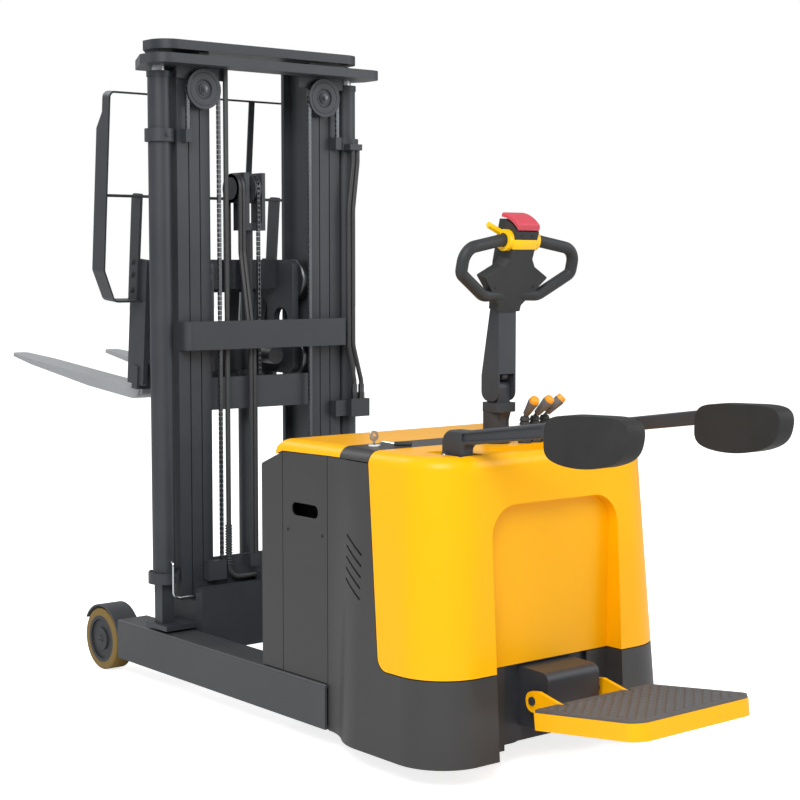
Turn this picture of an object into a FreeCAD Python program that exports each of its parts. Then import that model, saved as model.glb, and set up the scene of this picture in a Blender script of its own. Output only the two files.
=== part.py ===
import FreeCAD, Part
import math
import os
from FreeCAD import Vector

# Stand-on reach stacker with straddle legs, a three-stage mast and a fold-up platform.
# Millimetres, +Z up, +Y towards the fork tips, +X to the right.
# Y is measured from the load wheel axle here; the finished pieces are moved to the part's origin on export.

# Fits
RUN_GAP = 0.05            # radial running clearance of a pin or shaft
SLIDE_GAP = 0.3           # clearance of rollers, shoes and rings that slide or roll
SEAM = 3.0                # open seam between neighbouring covers
STAGE_GAP = 4.0           # side gap between neighbouring mast rails

# Load wheels
WHEEL_R = 105.0
WHEEL_W = 70.0
TREAD = 25.0
HUB_BOSS_R = 38.0
HUB_RECESS = 12.0
STUB_R = 20.0
EDGE = 4.0                # chamfer of tread edges

# Straddle legs
LEG_OUT = 417.0           # outer face, from the middle plane
LEG_W = 115.0
LEG_Z0 = 60.0
LEG_H = 130.0
LEG_WALL = 8.0
LEG_FLANGE = 15.0
CHANNEL_D = 60.0          # depth of the roller channel
LEG_REAR_Y = -1284.0
WHEEL_CLEAR = 8.0
CHEEK_T = 26.0
CHEEK_R = 45.0
FENDER_T = 6.0
FENDER_FRONT_DEG = 32.0
FENDER_REAR_DEG = 168.0

# Body shells
BODY_Z0 = 58.0
BODY_TOP = 879.0
BODY_FRONT_Y = -960.0
PANEL_INSET = 10.0        # side panels inside the legs' outer faces
PANEL_T = 4.0
PANEL_FRONT_TOP = 798.0
PANEL_TOP = 845.0
STRIP_REAR_Y = -1067.0    # seam between front strip and battery door
DOOR_REAR_Y = -1287.0     # seam between battery door and skirt
SKIRT_FLARE = 59.0        # how far the skirt's foot stands out from the panels
SKIRT_REAR_Y = -1830.0
FLARE_END_Y = -1486.0
SKIRT_R = 150.0
SKIRT_WALL = 5.0
DECK_T = 9.0
DRAFT = 47.0              # how far the body leans in between foot and top
TOP_ROUND = 38.0
BAND_FRONT_Y = -1345.0    # grey deck band
BAND_REAR_Y = -1490.0
COVER_FOOT_Y = -1572.0    # where the yellow cover's front edge meets its foot
COVER_FOOT_Z = 292.0
COVER_CORNER_R = 40.0
HOOD_FRONT_Y = -1034.0    # front of the yellow hood, behind the side strips' front edge
HOOD_ROUND = 46.0
HOOD_WALL = 5.0
HOOD_LIP = 30.0
RECESS_X = 240.0
RECESS_TOP = 742.0
RECESS_R = 88.0
RECESS_DEPTH = 32.0
TRAY_X = 150.0
TRAY_Y = 55.0
TRAY_DEPTH = 22.0
TRAY_MID_Y = -1690.0
HAND_SLOT_L = 128.0
HAND_SLOT_H = 38.0
HAND_SLOT_Z = 680.0
LOUVRES = 5
LOUVRE_L = 96.0
LOUVRE_W = 7.0
LOUVRE_STEP = 30.5
LOUVRE_TOP_Z = 615.0
LOUVRE_Y = -1438.0
LOUVRE_DEG = 30.0

# Chassis inside the body
PLATE_T = 12.0
BASE_Z0 = 72.0
BULKHEAD_T = 8.0
BRIDGE_Z0 = 420.0
BATTERY_H = 610.0
BATTERY_L = 320.0
BATTERY_CLEAR = 14.0      # battery to the leg on each side
CONTROLLER = (150.0, 90.0, 130.0)
TANK = (150.0, 130.0, 260.0)
PUMP_MOTOR_R = 55.0
PUMP_MOTOR_L = 150.0
SEAT_W = 30.0             # width of the seats that carry the covers
SEAT_X = 230.0
DOOR_RAIL_Z = (230.0, 750.0)

# Drive and steering
STEER_Y = -1545.0
DRIVE_R = 115.0
DRIVE_W = 70.0
DRIVE_TREAD = 22.0
DRIVE_BAY_R = 150.0
TURNTABLE_R = 108.0
TURNTABLE_T = 25.0
GEARBOX_W = 55.0
GEARBOX_R = 62.0
DRIVE_AXLE_R = 18.0
MOTOR_R = 84.0
MOTOR_H = 230.0
POST_R = 37.0
POST_COLLAR_X = 38.0
POST_COLLAR_FRONT = 26.0
POST_COLLAR_REAR = 51.0
POST_COLLAR_H = 26.0
POST_COLLAR_ROUND = 18.0
POST_TOP = 996.0
DECK_GAP = 6.0

# Tiller
TILLER_PIVOT_Y = -1555.0
TILLER_PIVOT_Z = 1036.0
TILLER_LUG = 24.0         # half width of the post's hinge lug
TILLER_LUG_R = 22.0
TILLER_PIN_R = 8.0
TILLER_X = 33.0           # half width of the arm
TILLER_WALL = 5.0
TILLER_FOOT = 36.0        # arm below and behind its pivot
TILLER_FOOT_ROUND = 28.0
TILLER_TOP_Z = 1260.0
TILLER_TOP_D = 37.0
TILLER_WINDOW_Z = 1078.0
GAS_BARREL_R = 10.0
GAS_ROD_R = 4.0
GAS_EYE_UP = 34.0
GAS_ROD_L = 50.0
HEAD_LEAN = 14.0
HEAD_FOOT_X = 40.0
HEAD_NECK_X = 42.0
HEAD_WING_X = 118.0
HEAD_WING_Z = 100.0
HEAD_SHOULDER_Z = 132.0
HEAD_SHOULDER_X = 58.0
HEAD_WING_D = 38.0
HEAD_FOOT_REAR = -24.0
HEAD_FOOT_FRONT = 14.0
HEAD_TOP_REAR = -46.0
HEAD_TOP_FRONT = 32.0
HEAD_REAR_H = 234.0
HEAD_FRONT_H = 254.0
HEAD_CROWN_R = 92.0       # round of the head's top
HEAD_ROUND = 8.0
GRIP_R = 17.0
GRIP_Y = -13.0
GRIP_Z = 203.0
GRIP_X = 226.0            # outer reach of the loops
GRIP_ROOT = 26.0          # straight run through the paddle
GRIP_DROOP = 22.0         # fall of the upper run outwards
GRIP_SWEEP_DEG = 6.0      # loops swept back
GRIP_LOW_Z = 46.0
GRIP_KNEE_Z = 112.0
GRIP_BEND = 44.0
PADDLE_W = 16.0
PADDLE_CLEAR = 2.5        # ring to the swept grip inside it
PADDLE_R = 30.0
PADDLE_BLADE = 46.0
PADDLE_BLADE_T = 10.0
PADDLE_BLADE_W = 34.0
PADDLE_DEG = 52.0
BUTTON_X = 40.0
BUTTON_T = 13.0
BUTTON_SOFT = 5.0
BUTTON_STEM_R = 11.0
BUTTON_STEM_L = 40.0
BUTTON_TRAVEL = 4.0

# Hydraulic levers
LEVERS = 3
LEVER_X = 61.0
LEVER_STEP = 39.0
LEVER_Y = -1600.0
LEVER_LEAN = 44.0
LEVER_FAN = -8.0          # degrees sideways of the first knob
LEVER_FAN_STEP = 27.0
LEVER_PIVOT_DROP = 30.0   # pivot below the deck
LEVER_ROD_R = 4.5
LEVER_NECK = 12.0
LEVER_HUB_R = 9.0
LEVER_HUB_W = 12.0
LEVER_PIN_R = 4.0
KNOB_L = 60.0
KNOB_R0 = 8.0
KNOB_R1 = 14.0
BOOT_R0 = 18.0
BOOT_R1 = 12.5
BOOT_H = 76.0
BOOT_RIBS = 6
BOOT_RIB = 3.5
BOOT_WALL = 2.5
BOOT_FLANGE = 4.0
VALVE_H = 70.0
VALVE_D = 80.0
VALVE_EAR_T = 5.0

# Key
KEY_INSET = 77.0          # key inside the left panel
KEY_Y = -1402.0
KEY_PLUG_R = 9.0
KEY_PLUG_H = 26.0
KEY_BOW_R = 15.0
KEY_BOW_T = 3.0
KEY_STEM = 14.0

# Side arms
ARM_X = 283.0
ARM_T = 44.0
ARM_PIVOT_Y = -1681.0
ARM_PIVOT_Z = 876.0
ARM_PIN_R = 9.0
ARM_PIN_RIM = 3.0
ARM_EAR_T = 24.0
ARM_EAR_R = 17.0
ARM_TOP = 70.0            # arm's top edge above the pivot, at the hinge
ARM_RISE = 46.0           # climb of the arm towards its pad
ARM_DROP = 28.0           # bracket below the pivot
ARM_NOSE = 20.0
ARM_BRACKET = 64.0
ARM_BELLY = 30.0          # arm's lower edge above the pivot
ARM_REACH = 384.0         # pivot to the pad
ARM_PANEL_DEPTH = 5.0
ARM_SOFT = 7.0            # round of the arm's long edges
PAD_L = 288.0
PAD_H = 122.0
PAD_T = 66.0
PAD_RISE = 124.0          # pad's top above the pivot, at the arm
PAD_LIFT = 20.0           # climb of the pad's top towards its rear
PAD_ROUND = 14.0

# Platform
PEDAL_PIVOT_Y = -1838.0
PEDAL_PIVOT_Z = 208.0
PEDAL_RISE = 7.0          # degrees above level at rest
PEDAL_X = 225.0
PEDAL_FRONT = 100.0
PEDAL_REAR = 478.0
PEDAL_RIM = 46.0
PEDAL_WALL = 5.0
PEDAL_R = 48.0
MAT_T = 8.0
MAT_INSET = 3.0
PEDAL_PIN_R = 12.0
LUG_X0 = 118.0
LUG_T = 12.0
LUG_R = 26.0
HOUSING_X = 98.0
CHASSIS_REAR_Y = -1745.0
HOUSING_Y0 = CHASSIS_REAR_Y
HOUSING_Y1 = -1866.0
HOUSING_Z0 = 120.0
HOUSING_TOP = 285.0
CUTOUT_X = 158.0

# Mast rails
RAIL_REAR_Y = -378.0
RAIL_D = 170.0
RAIL_FLANGE = 16.0
RAIL_WEB = 12.0
RAIL_OUT = 26.0           # outer rail beyond the legs' inner faces
OUTER_W = 42.0
MIDDLE_W = 38.0
INNER_W = 37.0
OUTER_Z0 = 285.0
OUTER_TOP = 2000.0
SHOE_H = 60.0
SHOE_UP = 100.0           # shoe above the foot of its rail
MIDDLE_FOOT = 7.0         # step between feet of the outer and middle stage
INNER_Z0 = 100.0          # the inner rails reach down between the reach frame's plates
LOWER_PLATE_Z0 = 2020.0
LOWER_PLATE_T = 30.0
LOWER_PLATE_OVER = 78.0   # lower top plate beyond the lift cylinders' axes
LOWER_PLATE_REAR = -471.0
LOWER_PLATE_FRONT = -190.0
LOWER_PLATE_R = 52.0
PLATE_END = 110.0         # depth of the straight end of the top plates
PLATE_TAPER = 84.0        # how far the front edge is shorter than the rear at each end
BRACKET_HALF = 92.0
BRACKET_H = 38.0
UPPER_PLATE_GAP = 22.0
UPPER_PLATE_T = 30.0
UPPER_PLATE_OVER = 31.0   # upper top plate beyond the lift cylinders' axes
UPPER_PLATE_REAR = -411.0
UPPER_PLATE_R = 64.0
STRAP_Z0 = 1108.0
STRAP_H = 93.0
STRAP_T = 12.0
STRAP_GAP = 8.0           # strap behind the sheaves
STRAP_BEND = 26.0
TIE_Z0 = 330.0
TIE_H = 84.0
BEAM_Z0 = 906.0
BEAM_H = 107.0
TIE_T = 16.0

# Lift cylinders
CYL_STEP = 46.0           # cylinder axis outside the outer rail
CYL_Y = -347.0
CYL_R = 37.0
CYL_BORE = 30.0
CYL_FOOT_Z = 346.0
CYL_FLANGE_R = 52.0
CYL_FLANGE_H = 36.0
CYL_TOP = 1985.0
GLAND_H = 18.0
GLAND_RIM = 3.0
LIFT_ROD_R = 22.5
PISTON_H = 30.0
CLAMP_Z0 = 1779.0
CLAMP_H = 41.0
CLAMP_T = 11.0

# Lift sheaves and chains
SHEAVE_STEP = 86.0        # sheave axis inside the outer rail's face
SHEAVE_Y = -400.0
SHEAVE_Z = 1950.0
SHEAVE_R = 64.0
SHEAVE_W = 20.0
CHAIN_PITCH_R = 59.0
CHAIN_T = 12.0            # across the link plates
CHAIN_W = 12.0            # along the pins
CHAIN_NECK = 7.0
LINK = 42.0
SHEAVE_PIN_R = 12.0
ANCHOR_Z0 = 344.0
ANCHOR_H = 64.0

# Free lift
FREE_Y = -290.0
FREE_R = 33.0
FREE_BORE = 26.0
FREE_Z0 = 350.0
FREE_TOP = 1012.0
FREE_ROD_R = 20.0
FREE_PISTON_Z = 830.0
HEAD_BLOCK_Z = 1500.0
HEAD_BLOCK_H = 25.0
HEAD_BLOCK_TOP = 1694.0
FREE_AXIS_Z = 1640.0
FREE_PIN_R = 12.0
FREE_PITCH_R = 45.0
FREE_CHAIN_X = 16.0
FREE_SHEAVE_W = 24.0
HOSE_R = 7.0
HOSE_X = (-57.0, -42.0)
HOSE_SHEAVE_W = 32.0
CHEEKS_X = ((-32.0, -10.0), (40.0, 54.0))

# Hoses beside the mast
FEED_STEP = 87.0          # feed line inside the left sheave's axis
FEED_R = 8.5
FEED_GUARD_R = 12.5
FEED_GUARD_L = 130.0
FEED_GUARD_STEP = 26.0
FEED_BEND = 42.0
FEED_TAIL = 66.0
SIDE_HOSE_R = 8.0
SIDE_HOSE_STEP = 20.0
BLOCK_STEP = 12.0         # hose block outside the outer rail
BLOCK_W = 80.0
BLOCK_Z0 = 856.0
BLOCK_H = 62.0
BLOCK_Y0 = -428.0
BLOCK_D = 36.0

# Reach frame
REACH_PLATE_T = 20.0
REACH_CLEAR = 6.0
REACH_FRONT_Y = -160.0
REACH_REAR_Y = -455.0
REACH_Z0 = 84.0
ROLLER_FRONT_Y = -212.0
ROLLER_REAR_Y = -402.0
ROLLER_W = 52.0
ROLLER_PIN_R = 15.0
LOW_BEAM_Z0 = 120.0
LOW_BEAM_H = 118.0
LOW_BEAM_D = 70.0
TOP_BEAM_H = 90.0
TOP_BEAM_D = 50.0
FOOT_T = 16.0
FOOT_CLEAR = 8.0
FOOT_INSET = 5.0          # foot plate inside the legs' outer faces
FOOT_FRONT_Y = -292.0
FOOT_REAR_Y = -420.0
POST_FOOT = 46.0

# Carriage
CARR_CLEAR = 19.0         # carriage plate inside the inner rail
CARR_T = 24.0
CARR_Z0 = 1010.0
CARR_TOP = 1402.0
CARR_REAR_Y = -330.0
CARR_FRONT_Y = -72.0
CARR_ROLLER_W = 36.0
CARR_ROLLER_PIN_R = 18.0
CARR_ROLLER_LOW = 1064.0
CARR_ROLLER_HIGH = 1334.0
CROSS_Y = -232.0
CROSS_T = 27.0
CROSS_H = 100.0
TILT_PIVOT_Y = -95.0
TILT_PIVOT_Z = 1358.0
TILT_PIN_R = 14.0
TILT_BACK = 5.0           # degrees back at rest
TILT_CYL_X = 90.0
TILT_CYL_Z = 1076.0
TILT_CYL_R = 30.0
TILT_ROD_R = 14.0
TILT_STOP_GAP = 2.0

# Fork carrier and forks, drawn level and then tilted about the pivot
FORK_FACE_Y = 6.7
FORK_TOP_Z = 948.6
FORK_T = 38.0
FORK_TIP_T = 12.0
FORK_L = 958.0
FORK_X0 = 153.0
FORK_W = 100.0
FORK_TIP_W = 62.0
FORK_SHANK = 430.0
FORK_HEEL_R = 44.0
FORK_THROAT_R = 14.0
BAR_T = 35.0
BAR_H = 80.0
BAR_GAP = 1.5
BAR_LOW_UP = 6.0          # lower bar above the blade's top
BAR_SPAN = 410.0          # foot of the lower bar to the top of the upper bar
BAR_LOW_X = 284.0
BAR_HIGH_X = 278.0
HOOK_T = 22.0
HOOK_LIP = 26.0
EAR_T = 18.0
EAR_D = 58.0
SIDE_X0 = 262.0
SIDE_T = 16.0
SIDE_D = 104.0
SIDE_Z0 = 970.0
SIDE_TOP = 1400.0
GUARD_X = 430.0           # outer face of the load guard's side strips
GUARD_T = 6.0
GUARD_TOP_W = 44.0
GUARD_STRIP = 78.0
GUARD_TOP_Z = 1956.0
GUARD_STEP_Z = 1886.0     # strips widen below this height
GUARD_WIDE_Z = 1832.0
GUARD_LOW_Z = 1360.0
GUARD_FOOT_Z = 1255.0
GUARD_FOOT_X = 384.0
GUARD_MID_Z = 1612.0
GUARD_ROD_R = 5.0
GUARD_MOUNT_D = 55.0
GUARD_MOUNT_T = 10.0
GUARD_BAR_X = 150.0
GUARD_BAR_W = 22.0
GUARD_BEND = 22.0

# Derived sizes
LEG_IN = LEG_OUT - LEG_W
PANEL_X = LEG_OUT - PANEL_INSET
SKIRT_X = PANEL_X + SKIRT_FLARE
BATTERY_X = LEG_IN - BATTERY_CLEAR
KEY_X = KEY_INSET - PANEL_X
OUTER_X = LEG_IN + RAIL_OUT
CYL_X = OUTER_X + CYL_STEP
SHEAVE_X = OUTER_X - SHEAVE_STEP
FEED_X = FEED_STEP - SHEAVE_X
BLOCK_X0 = OUTER_X + BLOCK_STEP
FOOT_X = LEG_OUT - FOOT_INSET
LOWER_PLATE_X = CYL_X + LOWER_PLATE_OVER
UPPER_PLATE_X = CYL_X + UPPER_PLATE_OVER
LEG_TOP = LEG_Z0 + LEG_H
LEG_FRONT_Y = -(WHEEL_R + WHEEL_CLEAR)
CHANNEL_MID_Z = LEG_Z0 + LEG_H / 2
REACH_ROLLER_R = LEG_H / 2 - LEG_FLANGE - SLIDE_GAP
RAIL_FRONT_Y = RAIL_REAR_Y + RAIL_D
RAIL_MID_Y = RAIL_REAR_Y + RAIL_D / 2
RAIL_CLEAR = RAIL_D / 2 - RAIL_FLANGE
MIDDLE_X = OUTER_X - OUTER_W - STAGE_GAP
INNER_X = MIDDLE_X - MIDDLE_W - STAGE_GAP
MIDDLE_Z0 = OUTER_Z0 + MIDDLE_FOOT
INNER_IN = INNER_X - INNER_W
CARR_X = INNER_IN - CARR_CLEAR
UPPER_PLATE_Z0 = LOWER_PLATE_Z0 + LOWER_PLATE_T + UPPER_PLATE_GAP
SHEAVE_BACK_Y = SHEAVE_Y + SHEAVE_W / 2
SHEAVE_FRONT_Y = SHEAVE_Y - SHEAVE_W / 2
STRAP_IN_Y = SHEAVE_FRONT_Y - STRAP_GAP
LEVER_PIVOT_Z = BODY_TOP - LEVER_PIVOT_DROP
PAD_REAR_Y = ARM_PIVOT_Y - ARM_REACH - PAD_L
TILT = math.radians(TILT_BACK)
FORK_TIP_Y = (
    TILT_PIVOT_Y
    + (FORK_FACE_Y + FORK_L - TILT_PIVOT_Y) * math.cos(TILT)
    + (TILT_PIVOT_Z - FORK_TOP_Z + FORK_TIP_T) * math.sin(TILT)
)
ORIGIN_Y = (FORK_TIP_Y + PAD_REAR_Y) / 2
X_AXIS = Vector(1, 0, 0)
Y_AXIS = Vector(0, 1, 0)
Z_AXIS = Vector(0, 0, 1)


def side_view(y, z):
    """A point of an outline drawn in the YZ plane."""
    return Vector(0, y, z)


def front_view(x, z):
    """A point of an outline drawn in the XZ plane."""
    return Vector(x, 0, z)


def plan_view(x, y):
    """A point of an outline drawn in the XY plane."""
    return Vector(x, y, 0)


def outline(points, view, closed=True):
    """Wire through (u, v) or (u, v, corner radius) points, with round corners as arcs."""
    spots = [view(p[0], p[1]) for p in points]
    radii = [p[2] if len(p) > 2 else 0 for p in points]
    count = len(points)
    edges = []
    ends = []
    for i in range(count):
        here = spots[i]
        inner = closed or 0 < i < count - 1
        if radii[i] == 0 or not inner:
            ends.append((here, here))
            continue
        back = (spots[i - 1] - here).normalize()
        ahead = (spots[(i + 1) % count] - here).normalize()
        half = back.getAngle(ahead) / 2
        run = radii[i] / math.tan(half)
        first = here + back * run
        last = here + ahead * run
        centre_way = (back + ahead).normalize()
        middle = here + centre_way * (radii[i] / math.sin(half) - radii[i])
        ends.append((first, last))
        edges.append((i, Part.Arc(first, middle, last).toShape()))
    arcs = dict(edges)
    path = []
    for i in range(count):
        if i in arcs:
            path.append(arcs[i])
        if i == count - 1 and not closed:
            break
        start = ends[i][1]
        stop = ends[(i + 1) % count][0]
        if start.distanceToPoint(stop) > 1e-6:
            path.append(Part.LineSegment(start, stop).toShape())
    return Part.Wire(path)


def prism(points, view, start, end):
    """Solid of an outline between two planes across its view."""
    wire = outline(points, view)
    across = {side_view: X_AXIS, front_view: Y_AXIS, plan_view: Z_AXIS}[view]
    wire.translate(across * start)
    return Part.Face(wire).extrude(across * (end - start))


def box(x0, x1, y0, y1, z0, z1):
    """Block between two corners."""
    low = Vector(min(x0, x1), min(y0, y1), min(z0, z1))
    return Part.makeBox(abs(x1 - x0), abs(y1 - y0), abs(z1 - z0), low)


def rod(radius, start, end):
    """Round bar between two points."""
    way = end - start
    return Part.makeCylinder(radius, way.Length, start, way)


def turned(profile, base, axis):
    """Body of revolution: profile gives (distance along the axis, radius) points."""
    side = Z_AXIS if axis.cross(Z_AXIS).Length > 0.5 else X_AXIS
    spots = [base + axis * along + side * radius for along, radius in profile]
    face = Part.Face(Part.makePolygon(spots + [spots[0]]))
    return face.revolve(base, axis, 360)


def tube_along(points, view, radius, offset):
    """Round bar along an open outline, moved by an offset: straight runs and tangent bends."""
    path = outline(points, view, closed=False)
    path.translate(offset)
    runs = []
    for edge in path.Edges:
        start = edge.valueAt(edge.FirstParameter)
        end = edge.valueAt(edge.LastParameter)
        half_way = edge.valueAt((edge.FirstParameter + edge.LastParameter) / 2)
        ring = Part.Face(Part.Wire(Part.makeCircle(radius, start, edge.tangentAt(edge.FirstParameter))))
        if (start + end).multiply(0.5).distanceToPoint(half_way) < RUN_GAP / 10:
            runs.append(ring.extrude(end - start))
        else:
            bend = Part.Arc(start, half_way, end).toShape()
            turn = math.degrees(bend.LastParameter - bend.FirstParameter)
            runs.append(ring.revolve(bend.Curve.Center, bend.Curve.Axis, turn))
    return joined(runs)


def joined(shapes):
    """One solid from pieces that are welded together."""
    return shapes[0].multiFuse(shapes[1:]).removeSplitter()


def mirrored(shape):
    """The same piece on the other side of the middle plane."""
    return shape.mirror(Vector(0, 0, 0), X_AXIS)


def pair(shape):
    """A right-hand piece and its left-hand twin."""
    return Part.makeCompound([shape, mirrored(shape)])


def turned_about_x(shape, degrees, y, z):
    """Copy of a shape turned about an axis along X."""
    copy = shape.copy()
    copy.rotate(Vector(0, y, z), X_AXIS, degrees)
    return copy


# Legs and load wheels

def straddle_leg():
    """Hollow leg with an inward roller channel, wheel cheek, stub axle and wheel guard."""
    beam = prism(
        [(LEG_IN, LEG_Z0), (LEG_OUT, LEG_Z0), (LEG_OUT, LEG_TOP, LEG_WALL), (LEG_IN, LEG_TOP)],
        front_view, LEG_REAR_Y, LEG_FRONT_Y)
    channel = box(LEG_IN, LEG_IN + CHANNEL_D, LEG_REAR_Y, LEG_FRONT_Y - LEG_WALL,
                  LEG_Z0 + LEG_FLANGE, LEG_TOP - LEG_FLANGE)
    hollow = box(LEG_IN + CHANNEL_D + LEG_WALL, LEG_OUT - LEG_WALL, LEG_REAR_Y, LEG_FRONT_Y - LEG_WALL,
                 LEG_Z0 + LEG_WALL, LEG_TOP - LEG_WALL)
    cheek = prism(
        [(LEG_FRONT_Y, WHEEL_R - CHEEK_R), (CHEEK_R, WHEEL_R - CHEEK_R, CHEEK_R - 1),
         (CHEEK_R, WHEEL_R + CHEEK_R, CHEEK_R - 1), (LEG_FRONT_Y, WHEEL_R + CHEEK_R)],
        side_view, LEG_IN, LEG_IN + CHEEK_T)
    stub = rod(STUB_R, Vector(LEG_IN, 0, WHEEL_R), Vector(LEG_OUT - HUB_RECESS, 0, WHEEL_R))
    inner_r = WHEEL_R + WHEEL_CLEAR
    guard = Part.makeCylinder(inner_r + FENDER_T, LEG_OUT - LEG_IN - CHEEK_T,
                              Vector(LEG_IN + CHEEK_T, 0, WHEEL_R), X_AXIS)
    guard = guard.cut(Part.makeCylinder(inner_r, LEG_W, Vector(LEG_IN, 0, WHEEL_R), X_AXIS))
    reach = 3 * WHEEL_R
    fan = [(0, WHEEL_R)]
    for degrees in (FENDER_FRONT_DEG, 90, FENDER_REAR_DEG):
        angle = math.radians(degrees)
        fan.append((reach * math.cos(angle), WHEEL_R + reach * math.sin(angle)))
    guard = guard.common(prism(fan, side_view, LEG_IN, LEG_OUT))
    return joined([beam.cut(channel).cut(hollow), cheek, stub, guard])


def load_tyre(side):
    """Polyurethane tread with chamfered edges."""
    start = LEG_OUT - WHEEL_W
    profile = [(0, WHEEL_R - TREAD), (WHEEL_W, WHEEL_R - TREAD), (WHEEL_W, WHEEL_R - EDGE),
               (WHEEL_W - EDGE, WHEEL_R), (EDGE, WHEEL_R), (0, WHEEL_R - EDGE)]
    tyre = turned(profile, Vector(start, 0, WHEEL_R), X_AXIS)
    return tyre if side > 0 else mirrored(tyre)


def load_hub(side):
    """Dished hub that runs on the stub axle, closed by a cap on its outer face."""
    rim_r = WHEEL_R - TREAD
    rim_in = rim_r - HUB_RECESS
    bore = STUB_R + RUN_GAP
    cap = HUB_RECESS / 2
    profile = [(0, bore), (0, HUB_BOSS_R), (HUB_RECESS, HUB_BOSS_R), (HUB_RECESS, rim_in), (0, rim_in),
               (0, rim_r), (WHEEL_W, rim_r), (WHEEL_W, rim_in), (WHEEL_W - HUB_RECESS / 2, rim_in),
               (WHEEL_W - HUB_RECESS / 2, HUB_BOSS_R), (WHEEL_W, HUB_BOSS_R), (WHEEL_W, 0),
               (WHEEL_W - cap, 0), (WHEEL_W - cap, bore)]
    hub = turned(profile, Vector(LEG_OUT - WHEEL_W, 0, WHEEL_R), X_AXIS)
    return hub if side > 0 else mirrored(hub)


# Body shells

def body_wire(half, rear, inset, z, front):
    """Plan outline of the rear body: flared sides, round rear corners."""
    side = half - inset
    back = rear + inset
    start = PANEL_X - inset
    corner = SKIRT_R - inset
    mid = Vector((side + start) / 2, (FLARE_END_Y + DOOR_REAR_Y) / 2, z)
    right = []
    rise = side - start
    run = DOOR_REAR_Y - FLARE_END_Y
    bend = (rise * rise + run * run) / (4 * rise)
    turn = math.asin(run / 2 / bend)
    sag = bend * (1 - math.cos(turn / 2))
    dip = bend * math.sin(turn / 2)
    if front > DOOR_REAR_Y:
        right.append(Part.LineSegment(Vector(start, front, z), Vector(start, DOOR_REAR_Y, z)).toShape())
    right.append(Part.Arc(Vector(start, DOOR_REAR_Y, z), Vector(start + sag, DOOR_REAR_Y - dip, z),
                          mid).toShape())
    right.append(Part.Arc(mid, Vector(side - sag, FLARE_END_Y + dip, z),
                          Vector(side, FLARE_END_Y, z)).toShape())
    right.append(Part.LineSegment(Vector(side, FLARE_END_Y, z), Vector(side, back + corner, z)).toShape())
    lean = corner * (1 - math.sqrt(0.5))
    right.append(Part.Arc(Vector(side, back + corner, z), Vector(side - lean, back + lean, z),
                          Vector(side - corner, back, z)).toShape())
    left = [mirrored(edge) for edge in right]
    rear_edge = Part.LineSegment(Vector(side - corner, back, z), Vector(corner - side, back, z)).toShape()
    front_edge = Part.LineSegment(Vector(-start, front, z), Vector(start, front, z)).toShape()
    return Part.Wire(Part.__sortEdges__(right + [rear_edge] + left + [front_edge]))


def lean_at(z):
    """How far the rear body leans in at a height."""
    return DRAFT * (z - BODY_Z0) / (BODY_TOP - BODY_Z0)


def body_solid(inset, z0, z1, front):
    """Drafted body between two heights."""
    wires = []
    for z in (z0, z1):
        lean = lean_at(z)
        wires.append(body_wire(SKIRT_X - lean, SKIRT_REAR_Y + lean, inset, z, front))
    return Part.makeLoft(wires, True, True)


def recess_prism(inset):
    """Space of the recessed rear panel that takes the folded platform."""
    face_y = SKIRT_REAR_Y + lean_at(RECESS_TOP) + RECESS_DEPTH
    half = RECESS_X + inset
    return prism(
        [(-half, BODY_Z0), (half, BODY_Z0), (half, RECESS_TOP + inset, RECESS_R),
         (-half, RECESS_TOP + inset, RECESS_R)],
        front_view, SKIRT_REAR_Y - TANK[0], face_y + inset)


def body_shell():
    """Thin drafted shell of the whole rear body, open below and in front."""
    outer = body_solid(0, BODY_Z0, BODY_TOP, DOOR_REAR_Y)
    rim = [edge for edge in outer.Edges
           if min(v.Z for v in edge.Vertexes) > BODY_TOP - 1
           and max(v.Y for v in edge.Vertexes) < DOOR_REAR_Y + 1
           and min(v.Y for v in edge.Vertexes) < DOOR_REAR_Y - 1]
    outer = outer.makeFillet(TOP_ROUND, rim)
    inner = body_solid(SKIRT_WALL, BODY_Z0 - DECK_T, BODY_TOP - DECK_T, DOOR_REAR_Y + SKIRT_R)
    rim = [edge for edge in inner.Edges
           if min(v.Z for v in edge.Vertexes) > BODY_TOP - DECK_T - 1
           and min(v.Y for v in edge.Vertexes) < DOOR_REAR_Y - 1]
    inner = inner.makeFillet(TOP_ROUND - SKIRT_WALL, rim)
    tray = tray_solid(0, BODY_TOP - TRAY_DEPTH, BODY_TOP)
    tray_under = tray_solid(SKIRT_WALL, BODY_TOP - TRAY_DEPTH - SKIRT_WALL, BODY_TOP)
    inner = inner.cut(recess_prism(SKIRT_WALL)).cut(tray_under)
    return outer.cut(recess_prism(0)).cut(tray).cut(inner)


def tray_solid(grow, z0, z1):
    """Oval tray pressed into the top of the rear cover."""
    half = TRAY_X + grow
    deep = TRAY_Y + grow
    y = TRAY_MID_Y
    return prism(
        [(-half, y - deep, deep - 1), (half, y - deep, deep - 1), (half, y + deep, deep - 1),
         (-half, y + deep, deep - 1)],
        plan_view, z0, z1)


def cover_region(gap):
    """Side-view region of the yellow rear cover, pulled back by a gap."""
    far = SKIRT_REAR_Y - SKIRT_R
    top = BODY_TOP + SKIRT_R
    return prism(
        [(BAND_REAR_Y - gap, top), (BAND_REAR_Y - gap, PANEL_TOP),
         (COVER_FOOT_Y - gap, COVER_FOOT_Z + gap, COVER_CORNER_R),
         (far, COVER_FOOT_Z + gap), (far, top)],
        side_view, -SKIRT_X - 1, SKIRT_X + 1)


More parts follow.
